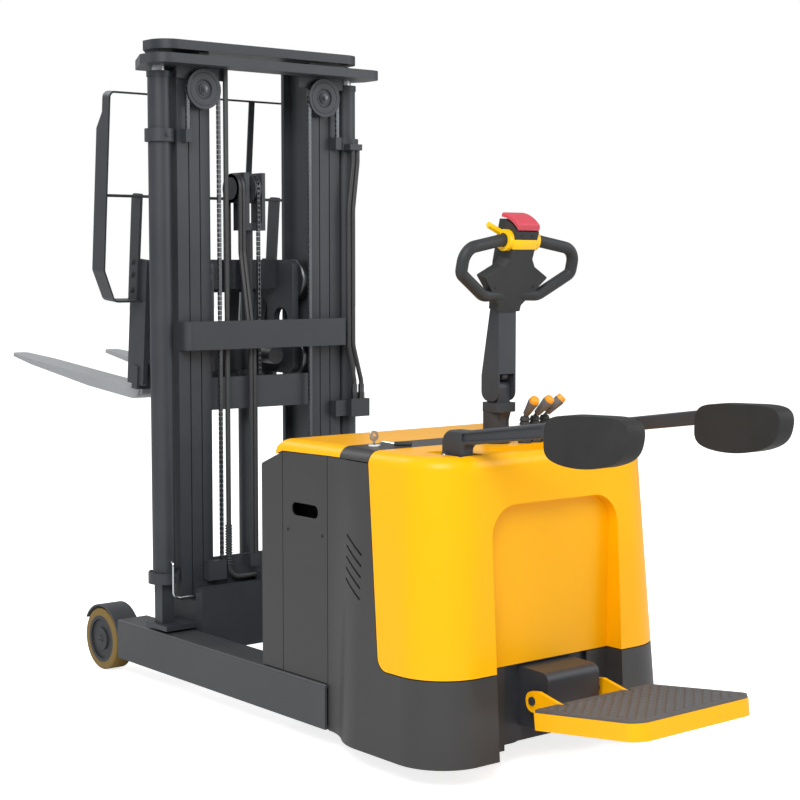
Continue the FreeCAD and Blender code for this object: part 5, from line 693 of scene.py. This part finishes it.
@dataclass(frozen=True)
class TillerSizes:
    """Places on the tiller head, in mm and degrees, in the head's own leaning frame."""

    base_y: float = -1572.5
    base_z: float = 1260
    lean: float = 14
    rear_foot: float = -24
    rear_top: float = -46
    rear_h: float = 234
    band_x: float = 43.5
    band_low: float = 183
    band_high: float = 211
    band_half: float = 4
    band_round: float = 2.5
    hole: float = 7
    hole_x: float = 20
    hole_z: float = 221
    screw: float = 8
    screw_x: float = 72
    screw_z: float = 72


class TillerTrim(Trim):
    """Yellow band, holes drawn as domes of painted shade, and screws of the tiller head."""

    SIZES = TillerSizes()

    def spot(self, x: float, y: float, z: float) -> Vector:
        """Row-frame point of a point in the head's frame.

        Args:
            x: Millimetres to the right.
            y: Millimetres forward.
            z: Millimetres along the head.

        Returns:
            The point in metres.
        """
        s = self.SIZES
        turned = Matrix.Rotation(math.radians(s.lean), 3, "X") @ Vector((x, y, z))
        return at(turned.x, turned.y + s.base_y, turned.z + s.base_z)

    def rear(self, z: float) -> float:
        """Depth of the head's rear face at a height.

        Args:
            z: Millimetres along the head.

        Returns:
            Millimetres forward, in the head's frame.
        """
        s = self.SIZES
        return s.rear_foot + (s.rear_top - s.rear_foot) * z / s.rear_h

    def build(self) -> None:
        """Make the band, the holes as domes of painted shade, and the screws."""
        s = self.SIZES
        slope = math.atan2(s.rear_foot - s.rear_top, s.rear_h)
        middle_z = (s.band_low + s.band_high) / 2
        centre = self.spot(0, self.rear(middle_z) + 1, middle_z)
        half = Vector((s.band_x, s.band_half, (s.band_high - s.band_low) / 2)) / 1000
        band = self.bench.block("head_band", centre - half, centre + half, s.band_round,
                                Euler((math.radians(s.lean) + slope, 0, 0)))
        self.bench.place(band, Finishes.PADDLE, "tiller")
        back = (self.spot(0, -1, 0) - self.spot(0, 0, 0)).normalized()
        # The holes are domes in near black painted shade that stands in for the shade inside real holes; the
        # wing screws take the same colour
        for name, size, x, z in (("painted_shade_head_holes", s.hole, s.hole_x, s.hole_z),
                                 ("wing_screws", s.screw, s.screw_x, s.screw_z)):
            spots = [(self.spot(side.value * x, self.rear(z), z), back) for side in Side]
            self.bench.bolts(name, "tiller", Head.DOME, size, spots, Finishes.DARK)


@dataclass(frozen=True)
class LeverSizes:
    """The levers' boots and knobs, in mm and degrees; knob places run from the lever's knee."""

    x: float = 61
    step: float = 39
    y: float = -1600
    deck: float = 879
    height: float = 76
    foot_r: float = 19
    top_r: float = 16
    rib: float = 5
    ribs: int = 6
    flange: float = 4
    lean: float = 44
    fan: float = -8
    fan_step: float = 27
    knob_places: tuple[float, float, float] = (9, 62, 75)
    knob_foot_r: float = 9.5
    knob_r: float = 16
    cap_r: float = 15.4
    cap_tip: float = 13


class Levers(Trim):
    """Knobs of the three levers, and ribbed rubber boots round them."""

    LEVERS = ("lift_lever", "reach_lever", "tilt_lever")
    SIZES = LeverSizes()

    def build(self) -> None:
        """Make the knobs, then the boots."""
        for make in (self._knob, self._boot):
            for place, lever in enumerate(self.LEVERS):
                make(place, lever)

    def _knob(self, place: int, lever: str) -> None:
        """Grey sleeve and orange end cap of a knob.

        Args:
            place: Place of the lever in the row, from the left.
            lever: Its body.
        """
        s = self.SIZES
        lean, fan = math.radians(s.lean), math.radians(s.fan + s.fan_step * place)
        way = Vector((math.sin(fan) * math.sin(lean), -math.cos(fan) * math.sin(lean), math.cos(lean)))
        knee = at(s.x + s.step * place, s.y, s.deck + s.height)
        foot, shoulder, end = (knee + way * along / 1000 for along in s.knob_places)
        sleeve = self.bench.bar(f"{lever}_sleeve", s.knob_foot_r, foot, shoulder, 28, s.knob_r)
        self.bench.place(self.bench.soften(sleeve, 2, 3), Finishes.KNOB, lever)
        cap = self.bench.bar(f"{lever}_cap", s.cap_r, shoulder - way * 0.001, end, 28, s.cap_tip)
        self.bench.place(self.bench.soften(cap, 3.5, 4), Finishes.ORANGE, lever)

    def _boot(self, place: int, lever: str) -> None:
        """Boot of tapering ribs round a lever, from a flange on the deck up to the knob.

        Args:
            place: Place of the lever in the row, from the left.
            lever: Its body.
        """
        s = self.SIZES
        pitch = (s.height - s.flange) / s.ribs
        foot = at(s.x + s.step * place, s.y, s.deck)
        up = UP / 1000
        rings = [self.bench.bar("flange", s.foot_r + 0.3, foot + up * 0.3, foot + up * s.flange, 32)]
        for rib in range(s.ribs):
            radius = s.foot_r + (s.top_r - s.foot_r) * rib / (s.ribs - 1)
            low = foot + up * (s.flange + pitch * rib)
            rings.append(self.bench.bar("rib", radius, low, low + up * pitch, 32, radius - s.rib))
        boot = self.bench.join(f"{lever}_boot", rings)
        self.bench.place(boot, Finishes.RUBBER, None)
        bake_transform(boot)
        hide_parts("lever_boots")


@dataclass(frozen=True)
class PlatformSizes:
    """The platform's studs, in mm and degrees."""

    pivot_y: float = -1838
    pivot_z: float = 208
    rise: float = 7
    half: float = 196
    near: float = 142
    far: float = 452
    columns: int = 12
    rows: int = 11
    stud_r: float = 9
    stud_tip: float = 6.48
    stud_h: float = 2.6
    stud_sunk: float = 0.5


class Platform(Trim):
    """Staggered studs of the rubber mat."""

    SIZES = PlatformSizes()

    def build(self) -> None:
        """Make two interleaved fields of studs and lay them on the sloping mat."""
        s = self.SIZES
        pitch_x = 2 * s.half / (s.columns - 1)
        pitch_y = (s.far - s.near) / (s.rows - 1)
        fields = []
        for shift in (0, 1):
            x = -s.half + shift * pitch_x / 2
            y = s.pivot_y - s.near - shift * pitch_y / 2
            stud = self.bench.bar("stud", s.stud_r, at(x, y, s.pivot_z - s.stud_sunk),
                                  at(x, y, s.pivot_z + s.stud_h), 12, s.stud_tip)
            self.bench.repeat(stud, s.columns - shift, (pitch_x / 1000, 0, 0))
            self.bench.repeat(stud, s.rows - shift, (0, -pitch_y / 1000, 0))
            fields.append(stud)
        studs = self.bench.join("mat_studs", fields)
        bpy.ops.object.mode_set(mode="EDIT")
        bpy.ops.mesh.select_all(action="SELECT")
        bpy.ops.transform.rotate(value=math.radians(s.rise), orient_axis="X",
                                 center_override=at(0, s.pivot_y, s.pivot_z))
        bpy.ops.object.mode_set(mode="OBJECT")
        self.bench.place(studs, Finishes.MAT, "pedal")


class ArmPads(Trim):
    """Moulded foam arm pads: mittens with a tight rim that stand for the plain CAD pads."""

    # How far each control point of the outline moves, by its place along the pad (0 at the arm, 2 at
    # the rear) and its height (0 lowest, 2 highest): forward and up, in mm
    MOVES = {(0, 0): (6, 14), (0, 2): (2, -2), (1, 2): (0, -2), (2, 0): (22, 32), (2, 1): (0, 8),
             (2, 2): (-4, 8)}
    THICK = 60
    RIM = 13
    RIM_ANGLE = 60

    def build(self) -> None:
        """Make both pads."""
        for side in Side:
            name = f"{side.word}_arm"
            low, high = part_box(f"{name}_pad")
            pad = self._outline(f"{name}_foam", low, high)
            self.bench.modify(pad, "SUBSURF", levels=4, render_levels=4)
            self.bench.modify(pad, "SOLIDIFY", thickness=self.THICK / 1000, offset=0)
            self.bench.modify(pad, "BEVEL", width=self.RIM / 1000, segments=5, limit_method="ANGLE",
                              angle_limit=math.radians(self.RIM_ANGLE))
            self.bench.place(pad, Finishes.PAD, name)
            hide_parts(f"{name}_pad")

    def _outline(self, name: str, low: Vector, high: Vector) -> bpy.types.Object:
        """Sheet in the pad's middle plane, with its control points moved to the mitten's outline.

        Args:
            name: Name of the piece.
            low: Lowest corner of the CAD pad.
            high: Its highest corner.

        Returns:
            The sheet.
        """
        size = high - low
        pad = self.bench.sheet(name, (low + high) / 2, size)
        places = [(round(2 * (high.y - vertex.co.y) / size.y), round(2 * (vertex.co.z - low.z) / size.z))
                  for vertex in pad.data.vertices]
        for key, (forward, up) in self.MOVES.items():
            bpy.ops.object.mode_set(mode="EDIT")
            bpy.ops.mesh.select_mode(type="VERT")
            bpy.ops.mesh.select_all(action="DESELECT")
            bpy.ops.object.mode_set(mode="OBJECT")
            for vertex, place in zip(pad.data.vertices, places):
                vertex.select = place == key
            bpy.ops.object.mode_set(mode="EDIT")
            bpy.ops.transform.translate(value=(0, forward / 1000, up / 1000))
            bpy.ops.object.mode_set(mode="OBJECT")
        return pad


@dataclass(frozen=True)
class ChainSizes:
    """Leaf chain, its sheaves' middles and its bends over them, in mm."""

    pitch: float = 15.9
    bead: float = 5.2
    width: float = 12
    plate: float = 2
    depth: float = 11
    lift_x: float = 242
    lift_y: float = -400
    lift_z: float = 1950
    lift_r: float = 59
    free: tuple[float, float, float] = (16, -290, 1640)
    free_r: float = 45


@dataclass(frozen=True)
class ChainRun:
    """Straight run of chain that hangs from a sheave.

    Attributes:
        foot: Body at its lower end.
        head: Body of the sheave.
        length: Length in mm.
        hold: How far below the sheave's middle the lower body takes over, in mm.
    """

    foot: str
    head: str
    length: float
    hold: float


class ChainWork(Trim):
    """Chains of the mast: straight runs, and bends over the sheaves."""

    SIZES = ChainSizes()
    OUTER = ChainRun("reach", "middle", 130, 125)
    INNER = ChainRun("inner", "middle", 1542, 1530)
    REAR = ChainRun("inner", "crosshead", 627, 620)
    FRONT = ChainRun("carriage", "crosshead", 238, 230)

    def _link(self, spot: Vector, pin: Vector, turn: float = 0) -> bpy.types.Object:
        """One link round a pin.

        Args:
            spot: Middle of the link in metres.
            pin: Direction of the pin, along X or Y.
            turn: Turn about the pin in radians.

        Returns:
            The piece.
        """
        s = self.SIZES
        reach = pin * s.width / 2000
        bead = self.bench.bar("bead", s.bead, spot - reach * 0.55, spot + reach * 0.55, 10)
        stub = self.bench.bar("stub", s.bead * 0.55, spot - reach, spot + reach, 8)
        across = Vector((1, 1, 0)) - pin
        half = across * s.depth / 2000 + pin * s.plate / 2000 + UP * s.pitch * 0.47 / 1000
        plates = [self.bench.block("plate", spot + pin * k * s.width / 3000 - half,
                                   spot + pin * k * s.width / 3000 + half, 0, Euler(pin * turn))
                  for k in (-1, 1)]
        return self.bench.join("link", [bead, stub] + plates)

    def hang(self, name: str, middle: Vector, aside: Vector, run: ChainRun, pin: Vector) -> None:
        """Straight run of chain at one side of a sheave, left without a body.

        Args:
            name: Name of the piece.
            middle: Middle of the sheave in metres.
            aside: From there to the run's upper end, in metres.
            run: The run.
            pin: Direction of the pins.
        """
        count = max(1, round(run.length / self.SIZES.pitch))
        pitch = run.length / count / 1000
        link = self._link(middle + aside - UP * pitch / 2, pin)
        self.bench.repeat(link, count, (0, 0, -pitch))
        chain = self.bench.place(self.bench.join(name, [link]), Finishes.CHAIN, None)
        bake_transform(chain)

    def over(self, name: str, centre: Vector, radius: float, pin: Vector) -> bpy.types.Object:
        """Half turn of chain over a sheave.

        Args:
            name: Name of the piece.
            centre: Middle of the sheave in metres.
            radius: Pitch radius in mm.
            pin: Direction of the sheave's axis.

        Returns:
            The piece.
        """
        count = round(math.pi * radius / self.SIZES.pitch)
        side = Vector((1, 1, 0)) - pin
        links = []
        for i in range(count):
            angle = math.pi * (i + 0.5) / count
            spot = centre + (side * math.cos(angle) + UP * math.sin(angle)) * radius / 1000
            links.append(self._link(spot, pin, -angle if pin.y else angle))
        return self.bench.join(name, links)

    def build(self) -> None:
        """Make the lift chains and the free-lift chain."""
        s = self.SIZES
        axis = Vector((0, 1, 0))
        for side in Side:
            middle = at(side.value * s.lift_x, s.lift_y, s.lift_z)
            bend = self.over(f"{side.word}_chain_bend", middle, s.lift_r, axis)
            self.bench.place(bend, Finishes.CHAIN, "middle")
            aside = side.out * s.lift_r / 1000
            self.hang(f"{side.word}_chain_outer", middle, aside, self.OUTER, axis)
            self.hang(f"{side.word}_chain_inner", middle, -aside, self.INNER, axis)
            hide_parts("lift_chains")
        axis = Vector((1, 0, 0))
        middle = at(*s.free)
        bend = self.over("free_chain_bend", middle, s.free_r, axis)
        self.bench.place(bend, Finishes.CHAIN, "crosshead")
        aside = BACK * s.free_r / 1000
        self.hang("free_chain_rear", middle, aside, self.REAR, axis)
        self.hang("free_chain_front", middle, -aside, self.FRONT, axis)
        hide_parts("free_lift_chain")


@dataclass(frozen=True)
class HoseSizes:
    """Routes of the hoses, in mm."""

    r: float = 7
    places: tuple[float, float] = (-57, -42)
    rear_y: float = -392
    rear_foot: float = 414
    jog_low: float = 1120
    jog_high: float = 1426
    jog_r: float = 70
    sheave_y: float = -290
    sheave_top: float = 1685
    half: float = 45
    wrap_r: float = 44.9
    front_foot: float = 1402
    feed_r: float = 8.5
    feed_x: float = -155
    feed_y: float = -400
    feed_top: float = 2020
    feed_foot: float = 344
    feed_bend: float = 42
    feed_end: float = -47
    ribs: int = 15
    rib_foot: float = 392
    rib_pitch: float = 9
    rib_r: float = 9.5
    rib: float = 3.2


class HoseWork(Trim):
    """Hoses of the mast, left without a body."""

    SIZES = HoseSizes()

    def build(self) -> None:
        """Make the carriage hoses and the feed hose."""
        s = self.SIZES
        back, ahead, top = s.sheave_y - s.half, s.sheave_y + s.half, s.sheave_top
        rears, fronts = [], []
        for x in s.places:
            line = [(at(x, s.rear_y, s.rear_foot), 0), (at(x, s.rear_y, s.jog_low), s.jog_r),
                    (at(x, back, s.jog_high), s.jog_r), (at(x, back, top), s.wrap_r),
                    (at(x, s.sheave_y, top), 0)]
            rears.append(self.bench.tube("hose", rounded(line), s.r))
            line = [(at(x, s.sheave_y, top), 0), (at(x, ahead, top), s.wrap_r),
                    (at(x, ahead, s.front_foot), 0)]
            fronts.append(self.bench.tube("hose", rounded(line), s.r))
        rear = self.bench.place(self.bench.join("carriage_hoses_rear", rears), Finishes.HOSE, None)
        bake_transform(rear)
        front = self.bench.place(self.bench.join("carriage_hoses_front", fronts), Finishes.HOSE, None)
        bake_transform(front)
        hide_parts("carriage_hoses")
        line = [(at(s.feed_x, s.feed_y, s.feed_top), 0), (at(s.feed_x, s.feed_y, s.feed_foot), s.feed_bend),
                (at(s.feed_end, s.feed_y, s.feed_foot), 0)]
        pieces = [self.bench.tube("feed", rounded(line), s.feed_r)]
        for i in range(s.ribs):
            spot = at(s.feed_x, s.feed_y, s.rib_foot + s.rib_pitch * i)
            pieces.append(self.bench.ring("guard", spot, UP, s.rib_r, s.rib))
        feed = self.bench.place(self.bench.join("feed_hose_ribbed", pieces), Finishes.HOSE, None)
        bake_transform(feed)
        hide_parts("feed_hose")


@dataclass(frozen=True)
class MastSizes:
    """Places of the mast's fittings, in mm and degrees."""

    cylinder_x: float = 374
    cylinder_y: float = -347
    nut_z: float = 2050
    clamp_y: float = -395
    clamp_z: float = 1799
    foot_r: float = 44
    foot_z: float = 382
    sheave_x: float = 242
    sheave_y: float = -410
    sheave_z: float = 1950
    rings: tuple[float, float] = (52, 30)
    ring: float = 1.6
    guard_x: float = 288
    guard_y: float = -22
    guard_z: tuple[float, float, float] = (1292, 1345, 1388)
    tilt_y: float = -95
    tilt_z: float = 1358
    tilt: float = 5
    pipe_r: float = 4.5
    pipe_y: float = -382
    pipe_back: float = -404
    pipe_z: float = 420
    pipe_low: float = 300
    pipe_end: float = 300
    pipe_bends: tuple[float, float] = (14, 24)
    block_x: float = 340 + 80 / 3
    block_step: float = 30
    block_y: float = -410
    fitting_z: tuple[float, float, float] = (917.5, 940, 968)


class MastTrim(Trim):
    """Nuts, bolts, sheave rings and fittings of the mast and fork carriage."""

    SIZES = MastSizes()

    def tilted(self, x: float, y: float, z: float) -> Vector:
        """Point of the fork carrier, which leans back at rest.

        Args:
            x: Millimetres to the right.
            y: Millimetres in front of the load axle, before it leans.
            z: Millimetres above the floor, before it leans.

        Returns:
            The point in metres.
        """
        s = self.SIZES
        arm = Vector((0, y - s.tilt_y, z - s.tilt_z))
        turned = Matrix.Rotation(math.radians(s.tilt), 3, "X") @ arm
        return at(x, turned.y + s.tilt_y, turned.z + s.tilt_z)

    def build(self) -> None:
        """Make the mast's fittings."""
        s = self.SIZES
        nuts, clamps, feet = [], [], []
        for side in Side:
            x = side.value * s.cylinder_x
            nuts.append((at(x, s.cylinder_y, s.nut_z), UP))
            clamps.append((at(x, s.clamp_y, s.clamp_z), BACK))
            for turn in (45, 135, 225, 315):
                angle = math.radians(turn)
                feet.append((at(x + s.foot_r * math.cos(angle), s.cylinder_y + s.foot_r * math.sin(angle),
                                s.foot_z), UP))
            sheave = f"{side.word}_sheave"
            middle = at(side.value * s.sheave_x, s.sheave_y, s.sheave_z)
            rings = [self.bench.ring("ring", middle, BACK, radius, s.ring) for radius in s.rings]
            self.bench.place(self.bench.join(f"{sheave}_rings", rings), Finishes.MAST, sheave)
            self.bench.bolts(f"{sheave}_bolt", "middle", Head.HEX, 17, [(middle + BACK * 0.0005, BACK)],
                             Finishes.CHAIN)
            mounts = [(self.tilted(side.value * s.guard_x, s.guard_y, z), side.out) for z in s.guard_z]
            self.bench.bolts(f"{side.word}_guard_bolts", "fork_carrier", Head.HEX, 15, mounts, Finishes.MAST)
            self._foot_pipe(side)
        self.bench.bolts("rod_nuts", "middle", Head.HEX, 34, nuts, Finishes.MAST)
        self.bench.bolts("clamp_bolts", "reach", Head.SOCKET, 12, clamps, Finishes.MAST)
        self.bench.bolts("foot_bolts", "reach", Head.SOCKET, 10, feet, Finishes.MAST)
        self._fittings()

    def _foot_pipe(self, side: Side) -> None:
        """Bright bent pipe from a cylinder's foot to the reach frame.

        Args:
            side: Which cylinder.
        """
        s = self.SIZES
        x, end = side.value * s.cylinder_x, side.value * s.pipe_end
        line = rounded([(at(x, s.pipe_y, s.pipe_z), 0), (at(x, s.pipe_back, s.pipe_z), s.pipe_bends[0]),
                        (at(x, s.pipe_back, s.pipe_low), s.pipe_bends[1]),
                        (at(end, s.pipe_back, s.pipe_low), 0)], 6)
        pipe = self.bench.tube(f"{side.word}_foot_pipe", line, s.pipe_r)
        self.bench.place(pipe, Finishes.STEEL, "reach")

    def _fittings(self) -> None:
        """Hexagon fittings where the side hoses meet their block."""
        s = self.SIZES
        fittings = []
        for i in range(2):
            low, neck, high = (at(s.block_x + s.block_step * i, s.block_y, z) for z in s.fitting_z)
            fittings.append(self.bench.bar("fitting", 12, low, neck, 6))
            fittings.append(self.bench.bar("sleeve", 10.5, neck, high, 20))
        self.bench.place(self.bench.join("hose_fittings", fittings), Finishes.CHAIN, "reach")


class CadLooks:
    """Finishes of the CAD nodes."""

    NODES: dict[Finish, tuple[str, ...]] = {
        Finishes.MAST: (
            "outer_mast", "middle_rails", "inner_mast", "lower_top_plate", "upper_top_plate", "lift_barrels",
            "free_lift_barrel", "crosshead", "carriage_frame", "fork_carrier", "load_guard", "left_sheave",
            "right_sheave", "crosshead_sheaves", "reach_frame", "chassis_frame", "tiller_post", "drive_unit",
            "pedal_housing", "hydraulic_unit", "left_arm", "right_arm", "tiller_arm"),
        Finishes.LEG: ("straddle_legs",),
        Finishes.PANEL: ("skirt_shell", "side_panels", "top_deck"),
        Finishes.YELLOW: ("rear_cover", "front_cover"),
        Finishes.PEDAL: ("pedal_frame",),
        Finishes.STEEL: ("lift_rods", "tilt_rod", "key"),
        Finishes.CHAIN: ("lift_chains", "free_lift_chain", "reach_rollers_front", "reach_rollers_rear",
                         "carriage_rollers_low", "carriage_rollers_high"),
        Finishes.RUBBER: ("lever_boots",),
        Finishes.MAT: ("pedal_mat",),
        Finishes.HOSE: ("feed_hose", "side_hoses", "carriage_hoses"),
        Finishes.TREAD: ("left_load_tyre", "right_load_tyre"),
        Finishes.HUB: ("left_load_hub", "right_load_hub", "drive_wheel"),
        Finishes.MOULDED: ("tiller_head",),
        Finishes.KNOB: ("lift_lever", "reach_lever", "tilt_lever"),
        Finishes.PADDLE: ("speed_paddles",),
        Finishes.RED: ("belly_button",),
        Finishes.PAD: ("left_arm_pad", "right_arm_pad"),
        Finishes.CASE: ("battery_pack",),
        Finishes.FORK: ("left_fork", "right_fork"),
    }

    def __init__(self, finishes: Finishes) -> None:
        """Keep the finishes.

        Args:
            finishes: The object's finishes.
        """
        self.finishes = finishes

    def paint(self) -> None:
        """Give every CAD node its finish."""
        for finish, nodes in self.NODES.items():
            for name in nodes:
                mesh = bpy.data.objects[name].data
                mesh.materials.clear()
                mesh.materials.append(self.finishes.of(finish))


@dataclass(frozen=True)
class StudioSizes:
    """Camera and light of the photograph's view."""

    camera: tuple[float, float, float] = (-3300.4, -5158.7, 1390)
    heading: float = 39.2
    dip: float = 4.55
    lens: float = 77.4
    floor: float = 80.0
    floor_glow: float = 0.8
    surround: float = 0.48


@dataclass(frozen=True)
class Lamp:
    """Soft square light.

    Attributes:
        name: Its name.
        spot: Place in metres.
        size: Edge in metres.
        power: Power in watts.
    """

    name: str
    spot: tuple[float, float, float]
    size: float
    power: float


class Studio:
    """White studio: floor, soft lights and the camera."""

    SIZES = StudioSizes()
    LAMPS = (Lamp("key_light", (-3.4, -3.4, 4.6), 3.2, 280), Lamp("fill_light", (4.2, -3.8, 3.2), 4.0, 125),
             Lamp("rim_light", (-1.0, 4.6, 4.8), 3.4, 110))
    AIM = (0, 0, 0.9)

    def build(self) -> None:
        """Make floor, world, lights and camera."""
        self._floor()
        self._world()
        s = self.SIZES
        for lamp in self.LAMPS:
            self._light(lamp)
        bpy.ops.object.camera_add(
            location=at(*s.camera), rotation=(math.radians(90 - s.dip), 0, math.radians(-s.heading)))
        camera = bpy.context.active_object
        camera.name = "photo_camera"
        camera.data.lens = s.lens
        camera.data.sensor_width = 36
        camera.data.sensor_fit = "HORIZONTAL"
        camera.data.clip_end = 200
        bpy.context.scene.camera = camera
        bpy.context.scene.view_settings.view_transform = "Standard"

    def _floor(self) -> None:
        """Pale floor that the camera sees as white away from the object's shadow."""
        bpy.ops.mesh.primitive_plane_add(size=self.SIZES.floor)
        floor = bpy.context.active_object
        floor.name = "studio_floor"
        material = bpy.data.materials.new("white_floor")
        material.use_nodes = True
        tree = material.node_tree
        tree.nodes.clear()
        matt = add_node(tree, "ShaderNodeBsdfDiffuse", Color=(0.9, 0.9, 0.9, 1))
        glow = add_node(tree, "ShaderNodeEmission", Color=(1, 1, 1, 1), Strength=self.SIZES.floor_glow)
        ray = add_node(tree, "ShaderNodeLightPath")
        none = add_node(tree, "ShaderNodeEmission", Strength=0.0)
        shown = add_node(tree, "ShaderNodeMixShader", Fac=ray.outputs["Is Camera Ray"])
        tree.links.new(none.outputs["Emission"], shown.inputs[1])
        tree.links.new(glow.outputs["Emission"], shown.inputs[2])
        both = tree.nodes.new("ShaderNodeAddShader")
        tree.links.new(matt.outputs["BSDF"], both.inputs[0])
        tree.links.new(shown.outputs["Shader"], both.inputs[1])
        add_node(tree, "ShaderNodeOutputMaterial", Surface=both.outputs["Shader"])
        floor.data.materials.append(material)

    def _world(self) -> None:
        """Soft white surroundings, pure white to the camera."""
        world = bpy.data.worlds.new("studio_world")
        bpy.context.scene.world = world
        world.use_nodes = True
        tree = world.node_tree
        tree.nodes.clear()
        ray = add_node(tree, "ShaderNodeLightPath")
        strength = add_node(tree, "ShaderNodeMapRange", Value=ray.outputs["Is Camera Ray"],
                            To_Min=self.SIZES.surround, To_Max=1.0)
        sky = add_node(tree, "ShaderNodeBackground", Color=(1, 1, 1, 1), Strength=strength.outputs["Result"])
        add_node(tree, "ShaderNodeOutputWorld", Surface=sky.outputs["Background"])

    def _light(self, lamp: Lamp) -> None:
        """Make a light that is aimed at the object's middle.

        Args:
            lamp: The light.
        """
        aim = Vector(self.AIM) - Vector(lamp.spot)
        bpy.ops.object.light_add(type="AREA", location=lamp.spot,
                                 rotation=aim.to_track_quat("-Z", "Y").to_euler())
        light = bpy.context.active_object
        light.name = lamp.name
        light.data.shape = "SQUARE"
        light.data.size = lamp.size
        light.data.energy = lamp.power


def main() -> None:
    """Load the CAD part, dress it and light it."""
    logging.basicConfig(level=logging.INFO)
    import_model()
    finishes = Finishes()
    bench = Bench(finishes)
    CadLooks(finishes).paint()
    for trim in (BodyTrim, TillerTrim, Levers, Platform, ArmPads, ChainWork, HoseWork, MastTrim):
        trim(bench).build()
        LOG.info("built %s", trim.__name__)
    Studio().build()


if __name__ == "__main__":
    main()
